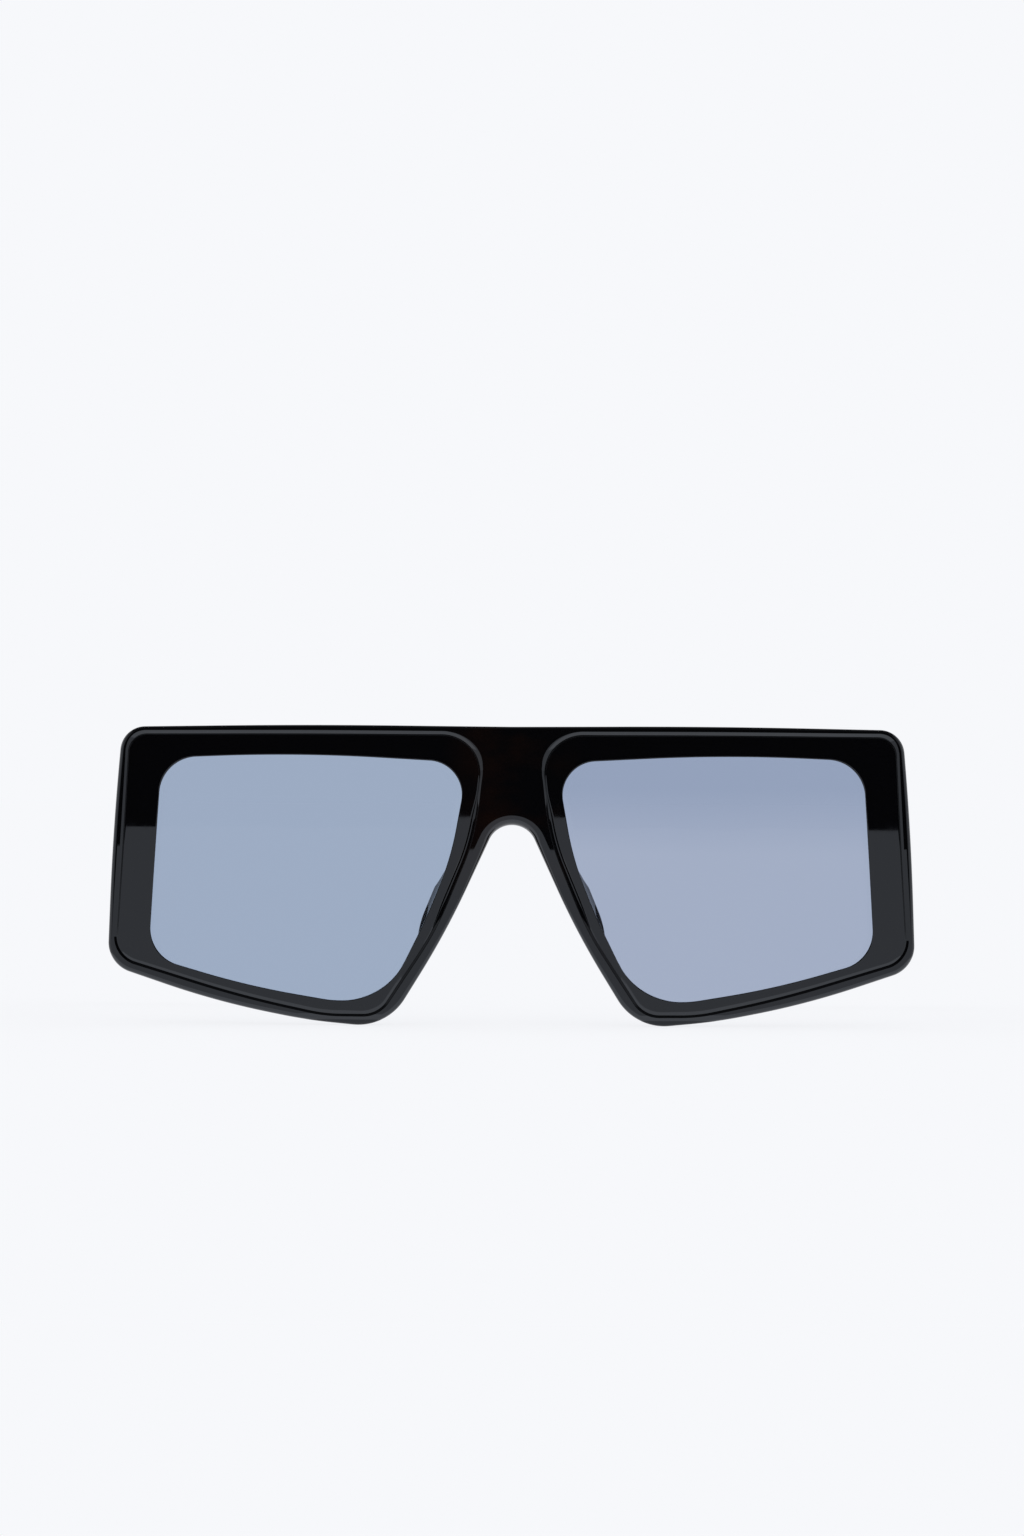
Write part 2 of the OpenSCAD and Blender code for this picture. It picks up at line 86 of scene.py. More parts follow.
class FrontSizes(PropertyGroup):
    """Sizes of the moulded front and of its two lens openings."""
    lens_w: length("Lens width", "Visible width of one lens", 58)
    lens_h: length("Lens height", "Visible height of one lens", 45.8)
    bridge_w: length("Bridge width", "Least distance between the two visible lenses", 18.8)
    bridge_h: length("Bridge height", "Height of the solid bridge over the arch", 18.3)
    arch_radius: length("Arch radius", "Radius of the bridge arch", 4.65)
    base_radius: length("Base radius", "Radius of the curve that wraps front and lenses", 260)
    thickness: length("Thickness", "Thickness from the strip to the back face", 4.6)
    border_top: length("Top border", "Width of the flat border above the lens", 3.5)
    border_side: length("Side border", "Width of the flat border at the temple", 6.05)
    border_foot: length("Foot border", "Width of the flat border below the lens", 2.5)
    border_nose: length("Nose border", "Width of the flat border at the nose", 3.0)
    strip_w: length("Strip width", "Width of the strip with its slope to the groove", 1.6)
    strip_top: length("Top strip width", "The same width along the top edge", 1.82)
    strip_rise: length("Strip rise", "Height of the strip above the flat border", 0.25)
    slope_w: length("Slope width", "Width of the slope into the groove", 0.42)
    slope_top: length("Top slope width", "The same width along the top", 0.78)
    slope_nose: length("Nose slope width", "The same width beside the nose", 0.34)
    groove_depth: length("Groove depth", "Depth of the groove below the strip", 0.33)
    groove_top: length("Top groove depth", "The same depth along the top", 0.55)
    groove_nose: length("Nose groove depth", "The same depth beside the nose", 0.6)
    floor_w: length("Groove floor", "Width of the level floor in the groove", 0.06)
    floor_nose: length("Nose groove floor", "The same width beside the nose", 0.44)
    wall_w: length("Groove wall", "Width of the groove's steep wall up to the border", 0.15)
    wall_foot: length("Foot wall", "The same width below the eyes, where it is softer", 0.42)
    wall_nose: length("Nose wall", "The same width beside the nose", 0.36)
    lip_w: length("Lip width", "Width of the fine bevel at the lens", 0.05)
    edge_round: length("Edge rounding", "Rounding of the outer edge", 0.8)
    arch_round: length("Arch rounding", "Rounding of the edge under the bridge arch", 1.8)
    back_round: length("Back rounding", "Rounding of the outer edge on the back", 0.7)
    top_fall: length("Top fall", "Fall of the top edge from the lenses to the bridge", 0.23)
    lean_z: length("Lean height", "Height above which the faces lean a little", 28)
    strip_lean: tilt("Strip lean", "Backward lean of the strip", 0.0015)
    nose_lean: tilt("Nose lean", "Forward lean of the nose border", 0.0008)


class LensSizes(PropertyGroup):
    """Sizes of the lenses and of the grooves that grip them."""
    set_back: length("Set-back", "Depth of the lens groove behind the strip", 1.5)
    thickness: length("Thickness", "Thickness of the lens groove", 2.0)
    grip: length("Grip", "Depth of the groove round the lens", 0.8)
    gap: length("Gap", "Gap between the lens and its groove", 0.05)
    edge_round: length("Edge rounding", "Rounding of the lens edge", 0.2)


class HingeSizes(PropertyGroup):
    """Sizes of the end blocks and of the hinge leaves in them."""
    block_h: length("Block height", "Height of the end block that carries a hinge", 16)
    block_wall: length("Block wall", "Plastic between the block's inner side and the leaf", 0.9)
    block_inset: length("Block inset", "Distance of the block inside the front's outline", 0.3)
    block_round: length("Block corner", "Rounding of the end block's corners", 1.2)
    block_edge: length("Block edge", "Rounding of the end block's back edge", 0.35)
    leaf_t: length("Leaf thickness", "Thickness of the hinge leaves", 1.2)
    arm_wall: length("Arm wall", "Plastic in front of the leaf in the arm", 1.0)
    block_root: length("Block root", "Depth of the end block's root inside the front", 0.25)
    bevel: length("Bevel", "Broken edge of the metal pieces", 0.07)


class ArmSizes(PropertyGroup):
    """Sizes of the side arms."""
    run: length("Straight run", "Length of the straight stretch behind the front", 90)
    slope: tilt("Slope", "Downward slope of that stretch", math.radians(5.5))
    tip_slope: tilt("Tip slope", "Downward angle of the tip", math.radians(40))
    ear_radius: length("Ear bend", "Radius of the bend over the ear", 35)
    height: length("Height", "Height of the arm at the hinge", 14)
    ear_height: length("Ear height", "Height of the arm at the ear bend", 9)
    tip_height: length("Tip height", "Height of the arm's tip", 10)
    thickness: length("Thickness", "Thickness of the arm at the hinge", 3.8)
    tip_thickness: length("Tip thickness", "Thickness of the arm at its tip", 3.2)
    inward: length("Inward bend", "Inward bend of the tip", 0.4)
    tip_rise: length("Tip rise", "Height of the tip over the table", 6.4)
    edge_round: length("Edge rounding", "Rounding of the arm's front edge", 0.35)


class PadSizes(PropertyGroup):
    """Sizes of the nose pads."""
    run: length("Length", "Length of a pad along the rim", 23.2)
    width: length("Width", "Width of a pad on the rim", 3.4)
    depth: length("Depth", "Height of a pad behind the rim", 6.0)
    lean: length("Lean", "Outward lean of a pad over that height", 1.8)
    crown: length("Crown", "Height of the rounded end of a pad", 0.9)
    set_in: length("Set-in", "Shift of a pad from the rim's middle towards the nose", 0.14)
    climb: length("Climb", "Shift of a pad's crown up along the rim", 0.8)
    seat: length("Seat", "Gap between the rim's back and a pad's wide end", 0.02)
    foot: length("Foot", "Depth of a pad's foot inside the rim", 0.3)
    place: fraction("Place", "How far up the nose side a pad sits", 0.6)
    steeper: fraction("Steepness", "How much steeper than the lens's nose side it stands", 0.04)
    slimming: fraction("Slimming", "What a pad loses of its squared width at its crown", 0.55)
    shortening: fraction("Shortening", "What a pad loses of its length at its crown", 0.08)
    taper: fraction("Taper", "How much narrower its upper end is than its middle", 0.05)


class FinishColours(PropertyGroup):
    """Colours of the acetate, the lenses and the metal."""
    acetate: tone("Acetate", "Colour of the black acetate", (0.0014, 0.0014, 0.0018))
    # The warm colour is the acetate's own streaks on the arms and pads; about the front's bridge
    # it is also painted warm light
    warm: tone("Warm streaks", "Colour of the faint warm streaks in it", (0.0050, 0.0024, 0.0018))
    shine: tone("Shine", "Tint of the acetate's mirrored light", (0.84, 0.90, 1.0))
    lens: tone("Right lens", "What the right lens lets through", (0.362, 0.438, 0.565))
    lens_left: tone("Left lens", "What the left lens lets through", (0.392, 0.450, 0.576))
    lens_top: tone("Left lens top", "What it lets through at its top", (0.322, 0.386, 0.520))
    steel: tone("Steel", "Colour of the hinge steel", (0.62, 0.62, 0.60))
    floor: tone("Floor", "Colour of the pale floor", (0.9, 0.9, 0.9))
    backdrop: tone("Backdrop", "Light of the pale surroundings", (0.930, 0.939, 0.965))


class StageSizes(PropertyGroup):
    """Places of the camera and the extent of the floor."""
    distance: length("Distance", "Distance of the camera from the front", 8000)
    elevation: tilt("Elevation", "Height angle of the camera", math.radians(1.2))
    roll: tilt("Roll", "Roll of the camera", math.radians(0.3))
    view_h: length("View height", "Height of the picture at the front", 285.53)
    aim_x: FloatProperty(name="Aim across", description="Place of the picture's middle, across",
                         default=-0.07 * MM, precision=5, unit="LENGTH")
    aim_z: length("Aim up", "Place of the picture's middle, over the floor", 47.96)
    mirror_z: length("Mirror line", "Height on the front up to which it mirrors the floor", 36.7)


# Curves and grids

def unit(v):
    """Rows of v divided by their own length."""
    return v / np.linalg.norm(v, axis=-1, keepdims=True)


def smooth(t):
    """A step from 0 to 1 with level ends: 3 t squared less 2 t cubed."""
    t = np.clip(t, 0, 1)
    return t * t * (3 - 2 * t)


def fade(value, end, run):
    """A smooth step from 1 down to 0 over the run before an end value."""
    return smooth((end - value) / run)


def carried(plain, *others):
    """A plain value carried towards each other value by that value's share."""
    return plain + sum((value - plain) * part for value, part in others)


def corner_arc(before, corner, after, reach, steps):
    """A circular arc tangent to both sides of a corner, from the distance reach before it
    to the same distance after it. It is the quadratic curve through the two ends whose
    middle point, the corner, weighs the sine of half the corner's angle."""
    u, v = unit(before - corner), unit(after - corner)
    weight = np.sqrt(np.clip(1 - np.sum(u * v, axis=-1), 0, None) / 2)[..., None, None]
    t = np.linspace(0, 1, steps + 1)[:, None]
    ends = (corner + u * reach)[..., None, :], (corner + v * reach)[..., None, :]
    parts = (1 - t) ** 2, 2 * t * (1 - t) * weight, t ** 2
    top = parts[0] * ends[0] + parts[1] * corner[..., None, :] + parts[2] * ends[1]
    return top / sum(parts)


def between(a, b, count):
    """Evenly spaced points strictly between a and b."""
    t = np.linspace(0, 1, count + 2)[1:-1, None]
    return a + (b - a) * t


def grid_faces(rows, columns, wrap_rows=False, wrap_columns=True):
    """Quads of a grid of points, joined over its last row or column where it wraps."""
    i = np.arange(rows if wrap_rows else rows - 1)[:, None]
    j = np.arange(columns if wrap_columns else columns - 1)[None, :]
    k, l = (i + 1) % rows, (j + 1) % columns
    quads = i * columns + j, k * columns + j, k * columns + l, i * columns + l
    return np.stack(np.broadcast_arrays(*quads), axis=-1).reshape(-1, 4)


def mirrored(points):
    """The same points with X turned round."""
    return points * np.array([-1, 1, 1])


def shell(points, side=1):
    """A grid of points as one list with its quads, mirrored for the right side."""
    quads = grid_faces(*points.shape[:2])
    points = points.reshape(-1, 3)
    return (points if side > 0 else mirrored(points)), quads


def oblong(half_w, half_h, power, count):
    """A soft-cornered oblong: cosine and sine, each raised to two over the power with its
    sign kept, times the half width and the half height."""
    angle = 2 * np.pi * (np.arange(count) + 0.5) / count
    across, up = np.cos(angle), np.sin(angle)
    return np.stack([half_w * np.sign(across) * np.abs(across) ** (2 / power),
                     half_h * np.sign(up) * np.abs(up) ** (2 / power)], axis=-1)


def piece(name, shells, sharp=40):
    """One mesh from shells of points and quads, with doubled points merged, all faces
    turned outwards, and its edges over the given angle in degrees kept sharp."""
    starts = np.cumsum([0] + [len(points) for points, _ in shells])
    points = np.concatenate([points for points, _ in shells])
    quads = np.concatenate([faces + start for (_, faces), start in zip(shells, starts)])
    mesh = bpy.data.meshes.new(name)
    mesh.from_pydata(points, [], quads.tolist())
    return finished(name, mesh, sharp)


def finished(name, mesh, sharp, merge=1e-7):
    """A linked object from a mesh that is welded, turned outwards and shaded smooth."""
    shape = bmesh.new()
    shape.from_mesh(mesh)
    bmesh.ops.remove_doubles(shape, verts=shape.verts, dist=merge)
    loose = [vert for vert in shape.verts if not vert.link_faces]
    bmesh.ops.delete(shape, geom=loose, context="VERTS")
    bmesh.ops.recalc_face_normals(shape, faces=shape.faces)
    shape.to_mesh(mesh)
    shape.free()
    mesh.shade_smooth()
    mesh.set_sharp_from_angle(angle=math.radians(sharp))
    thing = bpy.data.objects.new(name, mesh)
    bpy.context.scene.collection.objects.link(thing)
    return thing


def dress(thing, material, body, slot, *nodes):
    """Gives a piece its material and the body it rides on, and hides the nodes it replaces; the
    slot is not used.
    """
    thing.data.materials.clear()
    thing.data.materials.append(material)
    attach(thing, body)
    if nodes:
        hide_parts(*nodes)
    return thing


# Shape of the front. Everywhere s holds the front's sizes.

# Points on each rounded corner of a loop, and on the straight run after it: top, top
# corner, side, foot corner, foot, foot turn, nose corner, nose, bridge, top nose corner.
# The loop ends count the points up to the end of each run.
ARC_STEPS = (16, 24, 12, 24, 14, 8, 22, 10, 24, 28)
RUN_STEPS = (16, 8, 10, 14, 6, 3, 12, 6, 18, 14)
LOOP_ENDS = np.cumsum(np.add(ARC_STEPS, 1) + RUN_STEPS)
# Half the width of the bridge's closer rows along the top
BRIDGE_ROW = 7.5 * MM
# Rings round the outer edge and round the back edge, and how far past a rounding the
# face gets its first level ring
ROUND_RINGS = 10
BACK_RINGS = 6
CREASE = 0.03 * MM
# How far past both roundings the outer wall gets its first ring
WALL_RING = 0.1 * MM
# Height over which the faces bend into their lean, and how far from the middle plane
# the nose border leans, with the width of that change
LEAN_BLEND = 1.5 * MM
NOSE_SIDE = 18 * MM
NOSE_BLEND = 6 * MM
# Distances from the arch's crown between which the arch's rounding fades into the edge's
ARCH_NEAR, ARCH_FAR = 4 * MM, 16 * MM
# Where the groove changes, in millimetres. The heights over the table between which it
# becomes the top's groove, at the temple and at the nose:
TEMPLE_RISE = (51, 53.6)
NOSE_RISE = (45, 51)
# and the end and run of each fade: of the nose half, of the stretch beside the nose
# outwards and upwards, and of the foot
NOSE_HALF = (20, 10)
NOSE_OUT = (15.5, 3.5)
NOSE_UP = (44, 6)
FOOT_UP = (18, 8)


def lens_corners(s):
    """Corners of the left lens opening as rows of x, height over its foot and reach."""
    x, w, h = s.bridge_w / 2, s.lens_w, s.lens_h
    return np.array([
        (x + 0.528 * w, h + 0.33 * MM, 15 * MM),
        (x + 0.969 * w - 0.35 * MM, h - 0.85 * MM, 6.4 * MM),
        (x + 0.988 * w - 0.25 * MM, 0.58 * h, 10 * MM),
        (x + 1.006 * w - 0.23 * MM, 0.176 * h, 5.6 * MM),
        (x + 0.683 * w, 0.0585 * h + 0.05 * MM, 9 * MM),
        (x + 0.414 * w, 0.15 * MM, 1.7 * MM),
        (x + 0.245 * w - 0.1 * MM, 0.15 * MM, 8 * MM),
        (x + 0.124 * w - 0.85 * MM, 0.344 * h, 5 * MM),
        (x + 0.037 * w - 0.2 * MM, 0.59 * h, 5.3 * MM),
        (x - 1.2 * MM, h - 1.3 * MM, 7.2 * MM),
    ])


def groove_corners(s):
    """The same corners moved out to the groove line, each with its own reach."""
    top, side, foot, nose = (v / MM for v in (s.border_top, s.border_side,
                                              s.border_foot, s.border_nose))
    moves = np.array([
        (-2, top, 15), (side + 0.1, top + 0.83, 3.2), (side, 2, 10), (side + 0.2, 0, 3.9),
        (1, 0.65 - foot, 9), (1.2, -foot, 3), (1.2, -foot, 2.9), (1.5 - nose, -2.1, 6),
        (-1.1 - nose, 3.5, 5.6), (-nose, top + 1.58, 8),
    ]) * MM
    return np.column_stack([(lens_corners(s) + moves)[:, :2], moves[:, 2]])


def edge_corners(s):
    """The first eight corners moved out to the outline, each with its own reach."""
    strip, top = s.strip_w / MM, s.strip_top / MM
    moves = np.array([
        (0, top, 18), (strip - 0.4, top - 0.4, 4.2), (strip + 0.2, 3, 14),
        (strip - 0.2, -0.02 - strip, 4.3), (4.8, 0.42 - strip, 10), (3.4, 0.4 - strip, 5),
        (-1.6, -0.95 - strip, 6.3), (-0.38 - strip, 0.7 - strip, 9),
    ]) * MM
    return np.column_stack([(groove_corners(s)[:8] + moves)[:, :2], moves[:, 2]])


def rounded_path(corners, first, last):
    """Rounded corners joined by straight runs, between two outer points."""
    points = corners[:, :2]
    around = np.vstack([first, points, last])
    arcs = [corner_arc(around[i], points[i], around[i + 2], corners[i, 2], ARC_STEPS[i])
            for i in range(len(corners))]
    path = []
    for i, arc in enumerate(arcs):
        path.append(arc)
        if i + 1 < len(arcs):
            path.append(between(arc[-1], arcs[i + 1][0], RUN_STEPS[i]))
    return np.vstack(path)


def inner_loop(corners):
    """A closed loop of ten rounded corners, with its last run back to the start."""
    path = rounded_path(corners, corners[-1, :2], corners[0, :2])
    return np.vstack([path, between(path[-1], path[0], RUN_STEPS[9])])


def front_loops(s):
    """The lens opening, the groove line and the outline of the left half, point for point,
    standing on the table. The outline runs up the middle plane beside the nose, closer
    together at the arch and at the top edge, and then along the top."""
    corners = edge_corners(s)
    top_z = corners[0, 1] - s.top_fall
    arch_z = top_z - s.bridge_h
    reach = 0.64 * s.arch_radius
    outline = rounded_path(np.vstack([corners, (reach, arch_z, reach)]),
                           (0, top_z), (0, arch_z))
    share = 1 - np.cos(np.linspace(0, np.pi / 2, ROUND_RINGS + 1))
    low = arch_z + np.append(s.arch_round * share[1:], s.arch_round + CREASE)
    high = top_z - np.append(s.edge_round * share, s.edge_round + CREASE)[::-1]
    rest = RUN_STEPS[8] + ARC_STEPS[9] // 2 + 1 - len(low) - len(high)
    up = np.concatenate([low, np.linspace(low[-1], high[0], rest + 2)[1:-1], high])
    along = np.concatenate([
        np.linspace(0, BRIDGE_ROW, ARC_STEPS[9] // 2 + 1)[1:],
        np.linspace(BRIDGE_ROW, outline[0, 0], RUN_STEPS[9] + 2)[1:-1]])
    outline = np.vstack([
        outline,
        np.column_stack([np.zeros(len(up)), up]),
        np.column_stack([along, top_z + s.top_fall * along / corners[0, 0]])])
    stand = np.array([0, outline[:, 1].min()])
    inner = [inner_loop(c) - stand for c in (lens_corners(s), groove_corners(s))]
    return inner[0], inner[1], outline - stand


def sag(x, radius):
    """Depth of the curved front behind its middle, at a distance x from the middle plane."""
    return radius - np.sqrt(radius ** 2 - x ** 2)


def wrapped(plan, depth, s):
    """Points in space from places on the front and depths behind its curved face."""
    y = frame_places()["apex_y"] + sag(plan[..., 0], s.base_radius) + depth
    return np.stack([plan[..., 0], y, plan[..., 1]], axis=-1)


def square_out(loop):
    """Unit vectors square to a closed loop that runs clockwise, pointing out of it."""
    along = unit(np.roll(loop, -1, axis=0) - np.roll(loop, 1, axis=0))
    return np.stack([-along[:, 1], along[:, 0]], axis=-1)


def along_line(distance, knots, corners):
    """Points of bent lines, one line to a row: the first corner, and for each stretch its
    vector times the share of it that the distance has covered."""
    points = corners[0][:, None] + 0 * distance[..., None]
    for k in range(len(knots) - 1):
        share = (distance - knots[k][:, None]) / (knots[k + 1] - knots[k])[:, None]
        points = points + np.clip(share, 0, 1)[..., None] * (corners[k + 1] - corners[k])[:, None]
    return points


def edge_distance(points, edge):
    """Least distance of each point from the stretches of an open line."""
    a, ab = edge[:-1], np.diff(edge, axis=0)
    out = np.empty(points.shape[:-1])
    for row in range(len(points)):
        ap = points[row][:, None] - a
        t = np.clip(np.sum(ap * ab, axis=-1) / np.sum(ab * ab, axis=-1), 0, 1)
        out[row] = np.linalg.norm(ap - ab * t[..., None], axis=-1).min(axis=1)
    return out


def edge_drop(distance, radius):
    """Drop of a rounded edge: the radius less the height of its circle there."""
    inside = np.clip(radius - distance, 0, None)
    return radius - np.sqrt(np.clip(radius ** 2 - inside ** 2, 0, None))


def rings_off_edge(start, end, whole, edge, wanted):
    """Distances along straight sections at which they are the wanted distances away from
    the edge, read off between closely spaced points of each section."""
    share = np.linspace(0, 1, 161) ** 2
    gap = edge_distance(start[:, None] + (end - start)[:, None] * share[:, None], edge)
    gap = np.maximum.accumulate(gap, axis=1)
    k = np.clip((gap[:, None] < wanted[..., None]).sum(axis=-1), 1, len(share) - 1)
    low, high = np.take_along_axis(gap, k - 1, 1), np.take_along_axis(gap, k, 1)
    part = np.clip((wanted - low) / np.maximum(high - low, 1e-12), 0, 1)
    return whole[:, None] * (share[k - 1] + (share[k] - share[k - 1]) * part)


def groove_widths(s, groove):
    """Width of the groove's slope, its depth and the widths of its floor and its wall at
    each point of the groove line. The slope widens and deepens in the upper corners, lower
    down at the nose than at the temple, the wall widens at the foot, and beside the nose
    the groove is deep and its floor wide, each by a smooth step of the place."""
    x, z = groove.T / MM
    nose = fade(x, *NOSE_HALF)
    start, end = (carried(outer, (inner, nose)) for outer, inner in zip(TEMPLE_RISE, NOSE_RISE))
    high = smooth((z - start) / (end - start))
    foot = fade(z, *FOOT_UP)
    beside = fade(x, *NOSE_OUT) * fade(z, *NOSE_UP)
    return (carried(s.slope_w, (s.slope_top, high), (s.slope_nose, beside)),
            carried(s.groove_depth, (s.groove_top, high), (s.groove_nose, beside)),
            carried(s.floor_w, (s.floor_nose, beside)),
            carried(s.wall_w, (s.wall_foot, foot * (1 - beside)), (s.wall_nose, beside)))


def front_section(s, lens, opening, groove, outline, true_edge, arch):
    """The cross-section at each point of the loops: places on the front along the way from
    the outline over the groove line to the lens opening, and depths behind the strip. The
    outer edges drop by their distance from the true edge. The strip falls by a slope to
    the groove's level floor, a steep wall rises from that to the level border, and a fine
    bevel ends the border at the lens. The wider the wall, the further its top is rounded.
    Behind lie the groove of the lens and the back face."""
    first = np.linalg.norm(groove - outline, axis=1)
    whole = first + np.linalg.norm(opening - groove, axis=1)
    from_arch = np.linalg.norm(outline - arch, axis=1)
    near = np.clip((ARCH_FAR - from_arch) / (ARCH_FAR - ARCH_NEAR), 0, 1)
    radius = carried(s.edge_round, (s.arch_round, near))
    slope_w, groove_depth, floor_w, wall_w = groove_widths(s, groove)
    wall_top = first + floor_w + wall_w
    out, lens_out = square_out(groove), square_out(opening)
    shoulder = groove + out * slope_w[:, None]
    radius = np.minimum(radius, edge_distance(shoulder[:, None], true_edge)[:, 0] - 2 * CREASE)
    back = lens.set_back + lens.thickness

    def at(distance, depth):
        return np.stack([distance, np.full(len(outline), depth)], axis=-1)

    corner = [
        at(radius, 0), at(first - slope_w, 0), at(first, groove_depth),
        at(first + floor_w, groove_depth), at(wall_top, s.strip_rise),
        at(whole - s.lip_w, s.strip_rise),
        at(whole, s.strip_rise + s.lip_w), at(whole, lens.set_back),
        at(whole - lens.grip, lens.set_back), at(whole - lens.grip, back), at(whole, back),
        at(whole, s.thickness), at(whole * 0, s.thickness)]
    soft = 0.08 + 0.4 * (wall_w - s.wall_w)[:, None] / MM
    # Each rounded corner's reach in millimetres and its steps
    bends = {1: (0.04, 5), 2: (0.028, 2), 3: (0.028, 2), 4: (soft, 5), 5: (0.03, 5),
             6: (0.03, 5), 11: (0.35, 5)}
    arc = {k: corner_arc(corner[k - 1], corner[k], corner[k + 1], reach * MM, steps)
           for k, (reach, steps) in bends.items()}

    def flat(a, b, shares):
        return a[:, None] + (b - a)[:, None] * np.array(shares)[:, None]

    turn = np.linspace(0, np.pi / 2, ROUND_RINGS + 1)
    wanted = np.column_stack([radius[:, None] * (1 - np.cos(turn)), radius + CREASE])
    outer = rings_off_edge(outline, shoulder, first - slope_w, true_edge, wanted)
    back_turn = np.linspace(np.pi / 2, 0, BACK_RINGS + 1)
    behind = s.back_round * (1 - np.cos(back_turn)) + 0 * whole[:, None]
    ring = [
        np.stack([whole * 0, radius + WALL_RING], axis=-1)[:, None],
        np.stack([outer, outer * 0], axis=-1),
        flat(outer[:, -1:] * [1, 0], arc[1][:, 0], (0.2, 0.45, 0.7, 0.95)),
        arc[1], arc[2], arc[3], arc[4],
        flat(arc[4][:, -1], arc[5][:, 0], (0.03, 0.25, 0.5, 0.75, 0.97)),
        arc[5], arc[6],
        np.stack(corner[7:11], axis=1), arc[11],
        flat(arc[11][:, -1], at(whole * 0 + s.back_round, s.thickness),
             (0.04, 0.25, 0.5, 0.75, 0.96)),
        np.stack([behind, behind * 0 + s.thickness], axis=-1),
        at(whole * 0, s.thickness - s.back_round - WALL_RING)[:, None]]
    # The ends of the level strip, of the groove's floor, of the border and of the lens
    # bevel, and the start of the back face, as numbers of points
    ends = np.cumsum([part.shape[1] for part in ring])
    strip_end, groove_end, border_end, lens_end, back_start = ends[[2, 5, 8, 9, 11]]
    ring = np.concatenate(ring, axis=1)
    distance, depth = ring[..., 0], ring[..., 1]
    face = along_line(
        distance, (first * 0, first - slope_w, first, first + floor_w, wall_top,
                   whole - s.lip_w, whole),
        (outline, shoulder, groove, groove - out * floor_w[:, None],
         groove - out * (floor_w + wall_w)[:, None], opening + lens_out * s.lip_w, opening))
    hidden = along_line(distance, (first * 0, first, whole), (outline, groove, opening))
    number = np.arange(ends[-1])
    plan = np.where((number < lens_end)[:, None], face, hidden)
    gap = edge_distance(plan, true_edge)
    drop = edge_drop(gap, radius[:, None]) * ((number > 0) & (number < strip_end))
    lift = edge_drop(gap, s.back_round) * ((number >= back_start) & (number < ends[-1] - 1))
    above = LEAN_BLEND * np.logaddexp(0, (plan[..., 1] - s.lean_z) / LEAN_BLEND)
    on_border = (number >= groove_end) & (number < border_end)
    beside_nose = fade(plan[..., 0], NOSE_SIDE, NOSE_BLEND)
    lean = np.where(number < groove_end, s.strip_lean, -s.nose_lean * on_border * beside_nose)
    return plan, depth + drop - lift + above * lean * (number > 0)


def front_shell(s, lens):
    """Points and quads of the left half of the front, its cross-sections carried round
    the eye. The wall on the middle plane is left open for the other half."""
    opening, groove, outline = front_loops(s)
    arch_row = LOOP_ENDS[8] - RUN_STEPS[8] - 1
    top_row = len(outline) - ARC_STEPS[9] // 2 - RUN_STEPS[9] - 1
    true_edge = np.vstack([outline[top_row:], outline[:arch_row + 1]])
    plan, depth = front_section(s, lens, opening, groove, outline, true_edge, outline[arch_row])
    points = wrapped(plan, depth, s)
    rows, rings = points.shape[:2]
    quads = grid_faces(rows, rings, wrap_rows=True)
    on_middle = np.abs(outline[:, 0]) < 1e-9
    row, ring = quads[:, 0] // rings, quads[:, 0] % rings
    next_row = (row + 1) % rows
    wall = (ring == rings - 1) | (ring == 0) | (ring == rings - 2)
    keep = ~(on_middle[row] & on_middle[next_row] & wall)
    return points.reshape(-1, 3), quads[keep]


def frame_places():
    """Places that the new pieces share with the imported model, from its nodes' boxes."""
    front_low, front_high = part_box("front_frame")
    arm_low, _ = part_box("temple_left")
    leaf_low, leaf_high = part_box("temple_hinge_left")
    plate_low, plate_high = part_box("front_hinge_left")
    return {
        "apex_y": front_low.y, "block_y": front_high.y, "arm_y": arm_low.y,
        "leaf_low": leaf_low, "leaf_high": leaf_high,
        "plate_low": plate_low, "plate_high": plate_high,
        "hinge_z": (leaf_low.z + leaf_high.z) / 2,
    }


